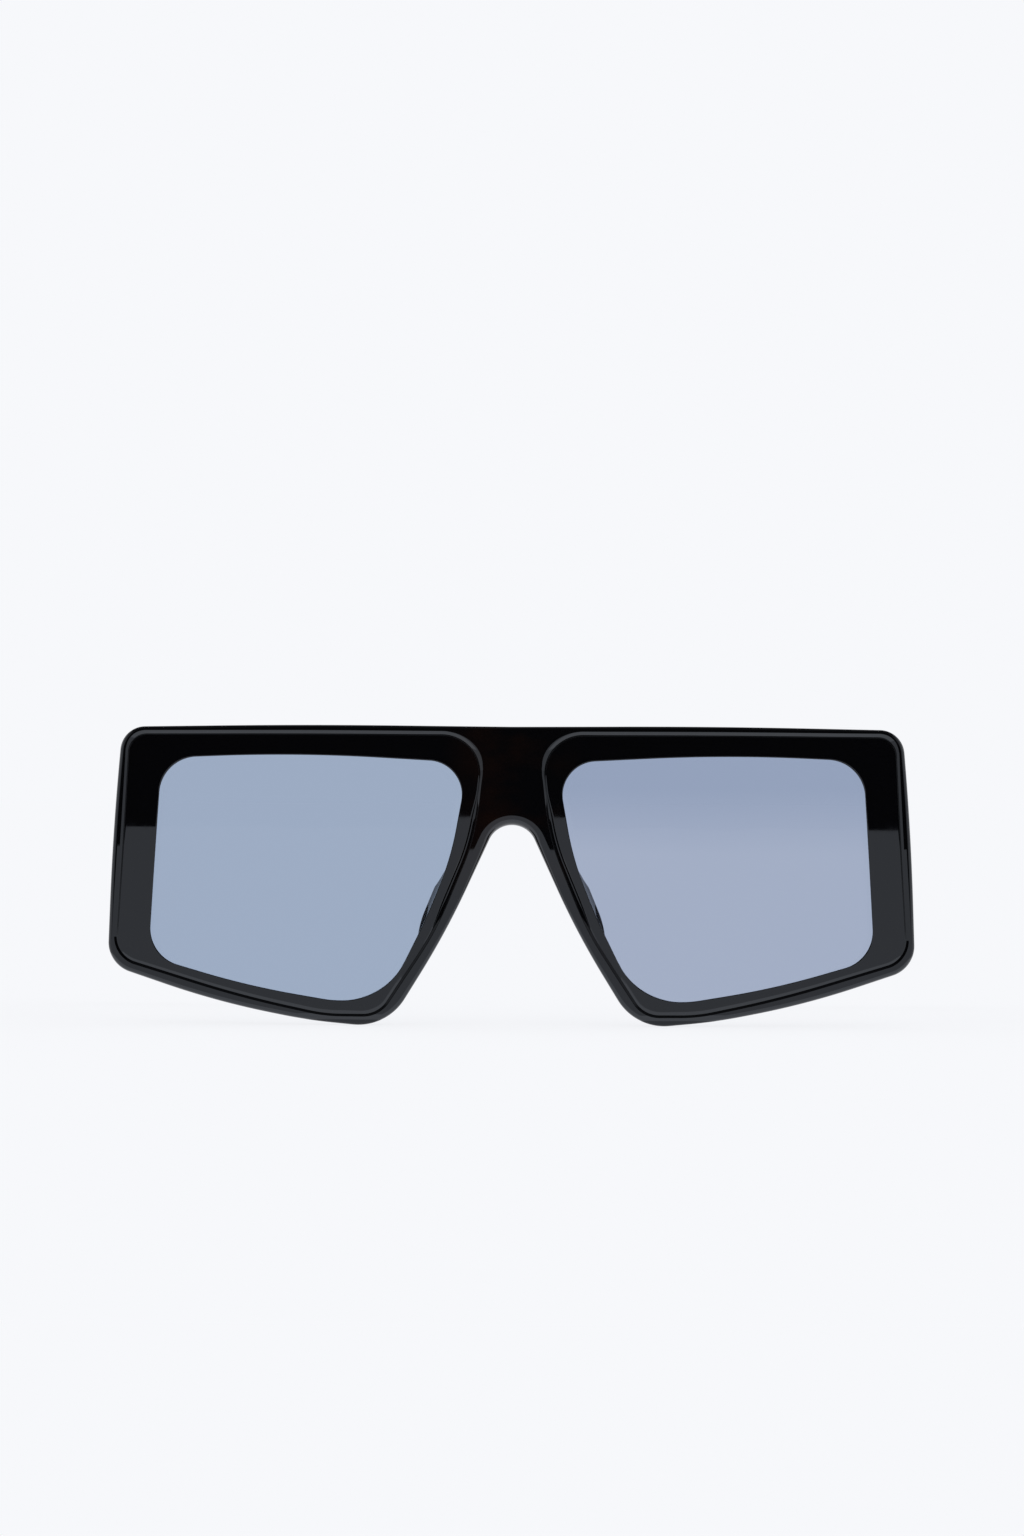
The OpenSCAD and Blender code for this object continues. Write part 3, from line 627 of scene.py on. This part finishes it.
def end_block(s, hinge):
    """Points and quads of the left end block. Its outline is a rounded oblong cut off
    inside the front's outline, and its rings go from inside the front out to the back
    edge, in over that face, and down into the pocket of the hinge leaf."""
    place = frame_places()
    low, high = place["plate_low"], place["plate_high"]
    pocket = np.array([[low.x + hinge.block_wall, low.z], [high.x, high.z]])
    mid, half = pocket.mean(axis=0), (pocket[1] - pocket[0]) / 2
    side = np.linspace(-1, 1, 40, endpoint=False)
    one = np.ones_like(side)
    square = np.concatenate([np.stack(p, axis=-1) for p in
                             ((side, -one), (one, side), (-side, one), (-one, -side))]) * half

    _, _, outline = front_loops(s)
    centre_z = place["hinge_z"]
    box_low = np.array([low.x, centre_z - hinge.block_h / 2])
    box_high = np.array([outline[:, 0].max() + hinge.block_round, centre_z + hinge.block_h / 2])
    turn = np.array([box_low, (box_low[0], box_high[1]), box_high, (box_high[0], box_low[1])])
    rim = np.vstack([corner_arc(turn[k - 1], turn[k], turn[(k + 1) % 4], hinge.block_round, 12)
                     for k in range(4)])
    rim = np.vstack([np.vstack([a[None], between(a, b, 16)])
                     for a, b in zip(rim, np.roll(rim, -1, axis=0))])
    rim[:, 0] = np.minimum(rim[:, 0], side_limit(rim[:, 1], outline, hinge.block_inset))
    away = rim - mid
    angle, far = np.arctan2(away[:, 1], away[:, 0]), np.linalg.norm(away, axis=1)
    order = np.argsort(angle)
    ray = np.arctan2(square[:, 1], square[:, 0])
    reach = np.interp(ray, angle[order], far[order], period=2 * np.pi)
    rays = np.stack([np.cos(ray), np.sin(ray)], axis=-1)

    edge = hinge.block_edge
    root = place["apex_y"] + sag(low.x, s.base_radius) + s.thickness - hinge.block_root
    back = place["block_y"]
    rings = [(reach * 0, root), (reach, root)]
    for t in np.linspace(0, np.pi / 2, 7):
        rings.append((reach - edge * (1 - np.cos(t)), back - edge * (1 - np.sin(t))))
    inner = np.linalg.norm(square, axis=1)
    rings += [(reach * 0.1 + inner * 0.9, back), (inner, back),
              (inner, back - hinge.leaf_t), (inner * 0, back - hinge.leaf_t)]
    points = [np.column_stack([mid[0] + rays[:, 0] * r, np.full(len(ray), y),
                               mid[1] + rays[:, 1] * r]) for r, y in rings]
    return shell(np.stack(points))


def side_limit(z, outline, inset):
    """Greatest x of the outline's temple side at each height, less an inset."""
    side = outline[outline[:, 0] > 0.9 * outline[:, 0].max()]
    order = np.argsort(side[:, 1])
    return np.interp(z, side[order, 1], side[order, 0]) - inset


# Shapes of the lenses, pads and arms

# Rings over each face of a lens
LENS_RINGS = 21
# Stretch at an arm's front with closer rows, and the stretch over which its sections turn
# from upright to square to its line
ARM_FRONT = 16 * MM
ARM_TURN = 14 * MM
# How far past an arm's inner face the pocket is cut
PAST_ARM = 1 * MM


def lens_shell(s, lens, side):
    """Points and quads of one lens: rings shrunk towards the middle of its outline, in
    front and behind, with a quarter round to each face at the edge. Both faces follow
    the base curve."""
    opening, groove, _ = front_loops(s)
    outline = opening + unit(groove - opening) * (lens.grip - lens.gap)
    middle = (outline.min(axis=0) + outline.max(axis=0)) / 2
    inward = unit(middle - outline)
    front, back = lens.set_back + lens.gap, lens.set_back + lens.thickness - lens.gap
    shares = np.linspace(0, 1, LENS_RINGS + 1)[:-1, None, None]
    turn = np.linspace(0, np.pi / 2, 6)[:, None]
    edge = lens.edge_round
    start = outline + inward * edge
    face = middle + (start - middle) * shares
    lip = start - inward * edge * np.sin(turn)[..., None]
    plan = np.concatenate([face, lip, lip[::-1], face[::-1]])
    dip = edge * (1 - np.cos(turn))
    level = np.ones((LENS_RINGS, 1))
    depth = np.concatenate([level * front, front + dip, back - dip[::-1], level * back])
    return shell(wrapped(plan, depth, s), side)


def nose_pad(s, pad, side):
    """Points and quads of one nose pad: ovals stacked behind the rim, each slimmer and
    leaning further out than the one before by the square of its height, closed by a
    rounded crown and by a foot inside the rim. They run along the lens's nose side, but
    a little steeper."""
    opening, _, outline = front_loops(s)
    rim = (opening + outline) / 2
    low, high = rim[LOOP_ENDS[5] + ARC_STEPS[6]], rim[LOOP_ENDS[7]]
    way = opening[LOOP_ENDS[7] - 1] - opening[LOOP_ENDS[6] - RUN_STEPS[6]]
    along = unit(way + pad.steeper * np.array([way[1], -way[0]]))
    across = np.array([along[1], -along[0]])
    mid = low + (high - low) * pad.place - across * pad.set_in
    rise = np.linspace(0, pad.depth - pad.crown, 25)
    crown = np.linspace(0, np.pi / 2, 9)[1:]
    height = np.concatenate([rise, pad.depth - pad.crown * (1 - np.sin(crown))])
    close = np.concatenate([np.ones(len(rise)), np.cos(crown) ** 0.6])
    t = height / pad.depth
    slim = np.sqrt(1 - pad.slimming * t * t)
    wide = pad.width / 2 * slim * close
    tall = pad.run / 2 * (slim ** 0.6 - pad.shortening * t) * (0.75 + 0.25 * close)
    tall[-1] = 0
    local = oblong(1, 1, 3.4, 64) * np.stack([wide, tall], axis=-1)[:, None]
    narrow = 1 - pad.taper * local[..., 1:] / (pad.run / 2)
    centre = mid + across * (pad.lean * t * t)[:, None] + along * (pad.climb * t)[:, None]
    plan = centre[:, None] + across * local[..., :1] * narrow + along * local[..., 1:]
    flatness = smooth(t)[:, None]
    curve = carried(sag(plan[..., 0], s.base_radius), (sag(mid[0], s.base_radius), flatness))
    y = frame_places()["apex_y"] + s.thickness + pad.seat + height[:, None] + curve
    points = np.stack([plan[..., 0], y, plan[..., 1]], axis=-1)
    foot = points[:1] - np.array([0, pad.foot, 0])
    pole = np.broadcast_to(foot.mean(axis=1, keepdims=True), foot.shape)
    return shell(np.concatenate([pole, foot, points]), side)


def arm_line(arm, station):
    """The arm's centre line in side view at a distance from its front: straight, round the
    ear on a circle, and straight to the tip. Gives y, z and the downward angle, and the
    lengths of the bend and of the tip."""
    place = frame_places()
    a, b, r = arm.slope, arm.tip_slope, arm.ear_radius
    start = np.array([place["arm_y"], place["hinge_z"]])
    bend = start + arm.run * np.array([math.cos(a), -math.sin(a)])
    past = bend + r * np.array([math.sin(b) - math.sin(a), math.cos(b) - math.cos(a)])
    ear = r * (b - a)
    angle = np.clip(a + (station - arm.run) / r, a, b)
    on = np.clip(station, None, arm.run)
    beyond = np.clip(station - arm.run - ear, 0, None)
    y = start[0] + on * math.cos(a) + r * (np.sin(angle) - math.sin(a)) + beyond * math.cos(b)
    z = start[1] - on * math.sin(a) - r * (math.cos(a) - np.cos(angle)) - beyond * math.sin(b)
    tip = (past[1] - arm.tip_height / 2 - arm.tip_rise) / math.sin(b)
    return y, z, angle, ear, tip


def arm_shell(arm, hinge, side):
    """Points and quads of one arm: soft-cornered oblong sections carried along its centre
    line, upright at the front and square to the line behind, with a rounded front edge
    and a tip whose sections shrink as the cosine round a half circle."""
    place = frame_places()
    inner_x = place["leaf_high"].x - hinge.leaf_t
    *_, ear, tip = arm_line(arm, np.zeros(1))
    whole = arm.run + ear + tip
    edge = arm.edge_round
    round_in = np.linspace(0, np.pi / 2, 6)
    front = edge * (1 - np.cos(round_in))
    station = np.concatenate([
        [0], front, np.linspace(edge, ARM_FRONT, 14)[1:],
        np.linspace(ARM_FRONT, arm.run, 24)[1:],
        arm.run + ear * np.linspace(0, 1, 25)[1:],
        arm.run + ear + tip * np.linspace(0, 1, 14)[1:]])
    shrink = np.concatenate([[0], 1 - np.sin(round_in), np.zeros(len(station) - 7)])
    half = smooth(np.linspace(0, 1, 15)[1:]) * np.pi / 2
    turn = np.concatenate([np.zeros(len(station)), half])
    station = np.concatenate([station, np.full(len(half), whole)])
    shrink = np.concatenate([shrink, np.zeros(len(half))])

    y, z, angle, *_ = arm_line(arm, station)
    out = arm.tip_height / 2 * np.sin(turn)
    y, z = y + out * np.cos(angle), z - out * np.sin(angle)
    behind = smooth((station - arm.run) / (ear + 0.6 * tip))
    tall = np.where(station < arm.run,
                    carried(arm.height, (arm.ear_height, smooth(station / arm.run))),
                    carried(arm.ear_height, (arm.tip_height, behind)))
    thick = carried(arm.thickness, (arm.tip_thickness, smooth(station / whole)))
    shift = -arm.inward * smooth((station - arm.run - ear) / tip)
    middle = inner_x + thick / 2 + shift
    close = np.clip(np.cos(turn), 0, 1)
    half_w = (thick / 2 - edge * shrink) * np.sqrt(close)
    half_h = (tall / 2 - edge * shrink) * close
    half_w[0] = half_h[0] = 0
    oval = oblong(1, 1, 4.5, 72)
    lean = angle * smooth(station / ARM_TURN)
    x = middle[:, None] + half_w[:, None] * oval[None, :, 0]
    up = half_h[:, None] * oval[None, :, 1]
    points = np.stack([x, y[:, None] + up * np.sin(lean)[:, None],
                       z[:, None] + up * np.cos(lean)[:, None]], axis=-1)
    return shell(points, side)


def box_shell(low, high):
    """Points and quads of a plain block, used only to cut a pocket."""
    x, y, z = np.meshgrid(*zip(low, high), indexing="ij")
    points = np.stack([x.ravel(), y.ravel(), z.ravel()], axis=-1)
    quads = np.array([(0, 1, 3, 2), (4, 6, 7, 5), (0, 4, 5, 1),
                      (2, 3, 7, 6), (0, 2, 6, 4), (1, 5, 7, 3)])
    return points, quads


def cut(thing, low, high, sharp):
    """Takes a block out of a piece, and leaves the block's edges sharp."""
    block = piece("pocket_cutter", [box_shell(low, high)])
    modifier = thing.modifiers.new("Pocket", "BOOLEAN")
    modifier.operation, modifier.solver, modifier.object = "DIFFERENCE", "EXACT", block
    view = bpy.context.evaluated_depsgraph_get()
    mesh = bpy.data.meshes.new_from_object(thing.evaluated_get(view))
    thing.modifiers.clear()
    thing.data = mesh
    mesh.shade_smooth()
    mesh.set_sharp_from_angle(angle=math.radians(sharp))
    spare = block.data
    bpy.data.objects.remove(block)
    bpy.data.meshes.remove(spare)


def broken_edges(node, name, width):
    """A welded copy of a packed metal piece with its flat faces joined and its edges
    broken by a small bevel."""
    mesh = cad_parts[node].data.copy()
    shape = bmesh.new()
    shape.from_mesh(mesh)
    bmesh.ops.remove_doubles(shape, verts=shape.verts, dist=2e-6)
    bmesh.ops.dissolve_limit(shape, angle_limit=math.radians(0.5), verts=shape.verts,
                             edges=shape.edges)
    shape.to_mesh(mesh)
    shape.free()
    thing = finished(name, mesh, 30, merge=1e-6)
    bevel = thing.modifiers.new("Broken edges", "BEVEL")
    bevel.width, bevel.segments = width, 2
    bevel.limit_method, bevel.angle_limit = "ANGLE", math.radians(30)
    bevel.harden_normals = True
    return thing


# Materials

def plug(tree, node, sockets):
    """Gives sockets of a node their values, or links them to outputs of other nodes."""
    for socket, value in sockets.items():
        if isinstance(value, bpy.types.NodeSocket):
            tree.links.new(value, node.inputs[socket])
        else:
            node.inputs[socket].default_value = value


def wired(tree, kind, output, sockets, **settings):
    """One output of a new shader node that has its settings and its sockets plugged."""
    made = tree.nodes.new("ShaderNode" + kind)
    for name, value in settings.items():
        setattr(made, name, value)
    plug(tree, made, sockets)
    return made.outputs[output]


def material(name):
    """A new material, its node tree and its main shader."""
    made = bpy.data.materials.new(name)
    made.use_nodes = True
    return made, made.node_tree, made.node_tree.nodes["Principled BSDF"]


def object_pattern(tree, stretch=(1, 1, 1)):
    """Object coordinates, stretched along the axes."""
    place = wired(tree, "TexCoord", "Object", {})
    return wired(tree, "Mapping", "Vector", {"Vector": place, "Scale": stretch})


def noise(tree, vector, scale, detail):
    """Fractal noise along a vector."""
    return wired(tree, "TexNoise", "Fac", {"Vector": vector, "Scale": scale, "Detail": detail})


def ranged(tree, value, from_low, from_high, to_low=0, to_high=1):
    """A value carried from one range to another, and held at its ends."""
    return wired(tree, "MapRange", "Result", {
        "Value": value, "From Min": from_low, "From Max": from_high,
        "To Min": to_low, "To Max": to_high})


def arithmetic(tree, operation, a, b):
    """Two values taken together, held between 0 and 1."""
    return wired(tree, "Math", "Value", {0: a, 1: b}, operation=operation, use_clamp=True)


def bumped(tree, height, distance, strength):
    """A bump from a height."""
    return wired(tree, "Bump", "Normal", {
        "Height": height, "Distance": distance, "Strength": strength})


def mixed(tree, part, colour_a, colour_b):
    """A mix of two fixed colours."""
    return wired(tree, "Mix", "Result", {
        "Factor": part, "A": (*colour_a, 1), "B": (*colour_b, 1)}, data_type="RGBA")


def polished_acetate(name, colours, stretch, streaks, warm_light_span=(0.2, 0.3)):
    """Tumbled and polished acetate: nearly black with faint warm streaks, a soft waviness left by
    polishing, and hair-fine wiping marks that only change its gloss. The streaks fade out over
    the warm light span of distances from the middle plane. On the front that keeps them about the
    bridge, where they are painted warm light; on the arms and pads they are the acetate's own."""
    made, tree, shader = material(name)
    plain = object_pattern(tree)
    streaked = noise(tree, object_pattern(tree, stretch), streaks, 5)
    x = wired(tree, "SeparateXYZ", "X", {"Vector": plain})
    middle = wired(tree, "Math", "Value", {0: x}, operation="ABSOLUTE")
    # Painted warm light: the warm streaks are kept near the middle plane, about the front's
    # bridge
    warm = arithmetic(tree, "MULTIPLY", ranged(tree, streaked, 0.45, 0.62),
                      ranged(tree, middle, *warm_light_span, 1, 0))
    plug(tree, shader, {
        "Base Color": mixed(tree, warm, colours.acetate, colours.warm),
        "Roughness": ranged(tree, noise(tree, plain, 420, 6), 0.35, 0.7, 0.004, 0.012),
        "Normal": bumped(tree, noise(tree, plain, 90, 1), 2e-7, 0.5),
        "IOR": 1.46, "Specular Tint": (*colours.shine, 1)})
    return made


# Share of a lens's mirrored light that its coating leaves
LENS_SHINE = 0.15


def tinted_lens(name, low, top, z_low, z_high):
    """Tinted polycarbonate that the light passes through: the colour it lets through goes from
    one at the foot to another at the top, with a faint unevenness."""
    made, tree, shader = material(name)
    place = object_pattern(tree)
    z = wired(tree, "SeparateXYZ", "Z", {"Vector": place})
    uneven = ranged(tree, noise(tree, place, 25, 2), 0.3, 0.7, -0.06, 0.06)
    height = arithmetic(tree, "ADD", ranged(tree, z, z_low, z_high), uneven)
    plug(tree, shader, {
        "Base Color": mixed(tree, height, low, top), "Transmission Weight": 1,
        "Roughness": 0, "IOR": 1.5,
        "Specular Tint": (LENS_SHINE, LENS_SHINE, LENS_SHINE, 1)})
    return made


def brushed_steel(name, colour, stretch, roughness):
    """Satin metal with fine brushed lines in its gloss and its surface."""
    made, tree, shader = material(name)
    lines = noise(tree, object_pattern(tree, stretch), 60, 4)
    stains = noise(tree, object_pattern(tree), 900, 3)
    darker = tuple(0.72 * c for c in colour)
    plug(tree, shader, {
        "Base Color": mixed(tree, ranged(tree, stains, 0.35, 0.75), colour, darker),
        "Roughness": ranged(tree, lines, 0.3, 0.7, roughness * 0.75, roughness * 1.3),
        "Normal": bumped(tree, lines, 2e-6, 0.4), "Metallic": 1})
    return made


# Operators

class SUNGLASSES_OT_front(Operator):
    """Makes the moulded front with its grooved rims, bridge and end blocks"""
    bl_idname = "sunglasses.front"
    bl_label = "Moulded front"

    def execute(self, context):
        scene = context.scene
        s, lens, hinge = scene.glasses_front, scene.glasses_lens, scene.glasses_hinge
        points, quads = front_shell(s, lens)
        halves = np.concatenate([points, mirrored(points)])
        both = np.concatenate([quads, quads[:, ::-1] + len(points)])
        block, faces = end_block(s, hinge)
        shells = [(halves, both), (block, faces), (mirrored(block), faces[:, ::-1])]
        thing = piece("moulded_front", shells, sharp=50)
        # The warm streaks kept about the bridge are painted warm light there
        finish = polished_acetate("front acetate", scene.glasses_colours, (9, 30, 16), 6,
                                  (s.bridge_w * 0.2, s.bridge_w * 0.7))
        dress(thing, finish, "front", "front_acetate", "front_frame")
        return {"FINISHED"}


class SUNGLASSES_OT_lenses(Operator):
    """Makes the two tinted lenses"""
    bl_idname = "sunglasses.lenses"
    bl_label = "Lenses"

    def execute(self, context):
        scene = context.scene
        colours = scene.glasses_colours
        for word, side in SIDES.items():
            low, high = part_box(f"lens_{word}")
            tones = (colours.lens_left, colours.lens_top) if side > 0 else [colours.lens] * 2
            thing = piece(f"tinted_lens_{word}",
                          [lens_shell(scene.glasses_front, scene.glasses_lens, side)], sharp=60)
            span = low.z + 0.6 * (high.z - low.z), low.z + 0.86 * (high.z - low.z)
            finish = tinted_lens(f"{word} lens tint", *tones, *span)
            dress(thing, finish, "front", "tinted_lens", f"lens_{word}")
        return {"FINISHED"}


class SUNGLASSES_OT_nose_pads(Operator):
    """Makes the two fixed nose pads"""
    bl_idname = "sunglasses.nose_pads"
    bl_label = "Nose pads"

    def execute(self, context):
        scene = context.scene
        finish = polished_acetate("pad acetate", scene.glasses_colours, (30, 30, 30), 7)
        for word, side in SIDES.items():
            thing = piece(f"moulded_pad_{word}",
                          [nose_pad(scene.glasses_front, scene.glasses_pad, side)], sharp=60)
            dress(thing, finish, "front", "pad_acetate", f"nose_pad_{word}")
        return {"FINISHED"}


class SUNGLASSES_OT_arms(Operator):
    """Makes the two side arms, each with the pocket of its hinge leaf"""
    bl_idname = "sunglasses.arms"
    bl_label = "Side arms"

    def execute(self, context):
        scene = context.scene
        arm, hinge = scene.glasses_arm, scene.glasses_hinge
        finish = polished_acetate("arm acetate", scene.glasses_colours, (40, 6, 24), 5)
        for word, side in SIDES.items():
            low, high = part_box(f"temple_hinge_{word}")
            thing = piece(f"acetate_arm_{word}", [arm_shell(arm, hinge, side)], sharp=50)
            front = frame_places()["arm_y"] + hinge.arm_wall
            if side > 0:
                span = high.x - hinge.leaf_t - PAST_ARM, high.x
            else:
                span = low.x, low.x + hinge.leaf_t + PAST_ARM
            cut(thing, (span[0], front, low.z), (span[1], high.y, high.z), sharp=50)
            dress(thing, finish, f"arm_{word}", "arm_acetate", f"temple_{word}")
        return {"FINISHED"}


class SUNGLASSES_OT_metal(Operator):
    """Finishes the hinges, their screws and the cores of the arms"""
    bl_idname = "sunglasses.metal"
    bl_label = "Metal parts"

    def execute(self, context):
        scene = context.scene
        steel, width = scene.glasses_colours.steel, scene.glasses_hinge.bevel
        leaf = brushed_steel("hinge steel", steel, (20, 20, 900), 0.3)
        screw = brushed_steel("screw steel", tuple(min(1, 1.12 * c) for c in steel),
                              (300, 300, 30), 0.2)
        core = brushed_steel("core steel", tuple(0.94 * c for c in steel), (200, 8, 200), 0.35)
        for word in SIDES:
            for node, finish, body, slot in (
                    (f"front_hinge_{word}", leaf, "front", "hinge_steel"),
                    (f"temple_hinge_{word}", leaf, f"arm_{word}", "hinge_steel"),
                    (f"hinge_screw_{word}", screw, "front", "screw_steel")):
                dress(broken_edges(node, f"finished_{node}", width), finish, body, slot, node)
            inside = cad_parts[f"temple_core_{word}"]
            inside.data.materials.clear()
            inside.data.materials.append(core)
        return {"FINISHED"}


class SUNGLASSES_OT_stage(Operator):
    """Sets the pale floor, the soft surroundings, the side lights and the camera"""
    bl_idname = "sunglasses.stage"
    bl_label = "Stage"

    def execute(self, context):
        scene = context.scene
        stage, colours = scene.glasses_stage, scene.glasses_colours
        lay_floor(stage, colours, scene.glasses_front.base_radius)
        light_surroundings(colours)
        hang_lights(frame_places()["apex_y"])
        aim_camera(stage)
        scene.view_settings.view_transform = "Standard"
        return {"FINISHED"}


# Share of the floor's light that is its own, as on a lit table
FLOOR_GLOW = 0.85


def lay_floor(stage, colours, radius):
    """A round floor about the point that the curved front mirrors from, half its radius
    behind it. The camera sees the floor's edge mirrored as a level line: the edge is as
    far away as that line's height times the camera's distance, over the height that the
    camera has above the line."""
    camera_z = stage.aim_z + stage.distance * math.tan(stage.elevation)
    reach = stage.mirror_z * stage.distance / (camera_z - stage.mirror_z)
    ring = (reach + radius / 2) * np.linspace(0, 1, 7)[:, None]
    turn = np.linspace(0, 2 * np.pi, 180, endpoint=False)
    points = np.stack([ring * np.cos(turn), ring * np.sin(turn) + radius / 2
                       + frame_places()["apex_y"], ring * 0 * turn], axis=-1)
    mesh = bpy.data.meshes.new("floor")
    mesh.from_pydata(points.reshape(-1, 3), [], grid_faces(*points.shape[:2]).tolist())
    floor = finished("floor", mesh, 40)
    made, tree, shader = material("pale floor")
    plug(tree, shader, {
        "Base Color": (*(c * (1 - FLOOR_GLOW) for c in colours.floor), 1), "Roughness": 1,
        "Specular IOR Level": 0, "Emission Color": (*colours.backdrop, 1),
        "Emission Strength": FLOOR_GLOW})
    mesh.materials.append(made)


def light_surroundings(colours):
    """Pale all round for the eye, the lenses and the floor. Glossy surfaces see a studio:
    dark towards the camera and overhead, pale behind and to the sides."""
    world = bpy.data.worlds.new("pale studio")
    bpy.context.scene.world = world
    world.use_nodes = True
    tree = world.node_tree
    glow = (*colours.backdrop, 1)
    ray = tree.nodes.new("ShaderNodeLightPath").outputs
    seen = arithmetic(tree, "ADD", ray["Is Camera Ray"], ray["Is Transmission Ray"])
    plain = tree.nodes["Background"]
    plug(tree, plain, {
        "Color": glow, "Strength": ranged(tree, seen, 0, 1, 1 / colours.floor[0], 1)})

    place = wired(tree, "TexCoord", "Generated", {})
    y, z = (wired(tree, "SeparateXYZ", axis, {"Vector": place}) for axis in "YZ")
    behind, above = ranged(tree, y, -0.55, -0.3, 0.004, 1), ranged(tree, z, 0.15, 0.6, 1, 0.1)
    studio = wired(tree, "Background", "Background", {
        "Color": glow, "Strength": arithmetic(tree, "MULTIPLY", behind, above)})
    glossy = arithmetic(tree, "SUBTRACT", ray["Is Glossy Ray"], ray["Is Transmission Ray"])
    both = wired(tree, "MixShader", "Shader", {
        "Fac": glossy, 1: plain.outputs["Background"], 2: studio})
    plug(tree, tree.nodes["World Output"], {"Surface": both})


def hang_lights(apex_y):
    """Soft panels that only mirrors see: one on the table under the front, which
    brightens the grooves and lower edges, and two tall ones beside and behind it."""
    panels = (
        ("table_panel", (0, apex_y + 0.015, 0.001), (0, 0, 1), 0.22, 0.1, 0.7),
        ("side_panel_left", (1.2, 0.5, 0.6), (-1.2, -0.5, -0.5), 0.5, 0.9, 0.8),
        ("side_panel_right", (-1.2, 0.5, 0.6), (1.2, -0.5, -0.5), 0.5, 0.9, 0.8))
    for name, place, aim, width, height, radiance in panels:
        lamp = bpy.data.lights.new(name, "AREA")
        lamp.shape, lamp.size, lamp.size_y = "RECTANGLE", width, height
        lamp.energy = radiance * math.pi * width * height
        panel = bpy.data.objects.new(name, lamp)
        panel.location = place
        panel.rotation_euler = Vector(aim).to_track_quat("-Z", "Y").to_euler()
        panel.visible_camera = panel.visible_diffuse = panel.visible_transmission = False
        bpy.context.scene.collection.objects.link(panel)


def aim_camera(stage):
    """The camera far in front, a little above the sunglasses and slightly rolled."""
    made = bpy.data.cameras.new("camera")
    made.sensor_width = 36
    made.lens = made.sensor_width * stage.distance / stage.view_h
    made.clip_start, made.clip_end = 0.1, 40
    camera = bpy.data.objects.new("camera", made)
    aim = Vector((stage.aim_x, frame_places()["apex_y"], stage.aim_z))
    back = Vector((0, -math.cos(stage.elevation), math.sin(stage.elevation)))
    camera.location = aim + back * stage.distance
    camera.rotation_mode = "QUATERNION"
    turn = (-back).to_track_quat("-Z", "Y") @ Quaternion((0, 0, 1), stage.roll)
    camera.rotation_quaternion = turn
    bpy.context.scene.collection.objects.link(camera)
    bpy.context.scene.camera = camera


class SUNGLASSES_PT_pieces(Panel):
    """Lists the steps that build the sunglasses"""
    bl_label = "Sunglasses"
    bl_idname = "SUNGLASSES_PT_pieces"
    bl_space_type = "VIEW_3D"
    bl_region_type = "UI"
    bl_category = "Sunglasses"

    def draw(self, context):
        for step in STEPS:
            self.layout.operator(step.bl_idname)
        for group in SETTINGS:
            box = self.layout.box()
            values = getattr(context.scene, group)
            for name in values.bl_rna.properties.keys():
                if name not in ("rna_type", "name"):
                    box.prop(values, name)


SETTINGS = {
    "glasses_front": FrontSizes, "glasses_lens": LensSizes, "glasses_hinge": HingeSizes,
    "glasses_arm": ArmSizes, "glasses_pad": PadSizes, "glasses_colours": FinishColours,
    "glasses_stage": StageSizes,
}
STEPS = (SUNGLASSES_OT_front, SUNGLASSES_OT_lenses, SUNGLASSES_OT_nose_pads,
         SUNGLASSES_OT_arms, SUNGLASSES_OT_metal, SUNGLASSES_OT_stage)


def register():
    """Adds the settings, the steps and the panel."""
    for name, group in SETTINGS.items():
        bpy.utils.register_class(group)
        setattr(bpy.types.Scene, name, PointerProperty(type=group))
    for part in (*STEPS, SUNGLASSES_PT_pieces):
        bpy.utils.register_class(part)


def unregister():
    """Takes them away again."""
    for part in (SUNGLASSES_PT_pieces, *reversed(STEPS)):
        bpy.utils.unregister_class(part)
    for name, group in SETTINGS.items():
        delattr(bpy.types.Scene, name)
        bpy.utils.unregister_class(group)


def main():
    """Builds every piece and the stage."""
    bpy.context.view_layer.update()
    register()
    bpy.ops.sunglasses.front()
    bpy.ops.sunglasses.lenses()
    bpy.ops.sunglasses.nose_pads()
    bpy.ops.sunglasses.arms()
    bpy.ops.sunglasses.metal()
    bpy.ops.sunglasses.stage()


if __name__ == "__main__":
    main()
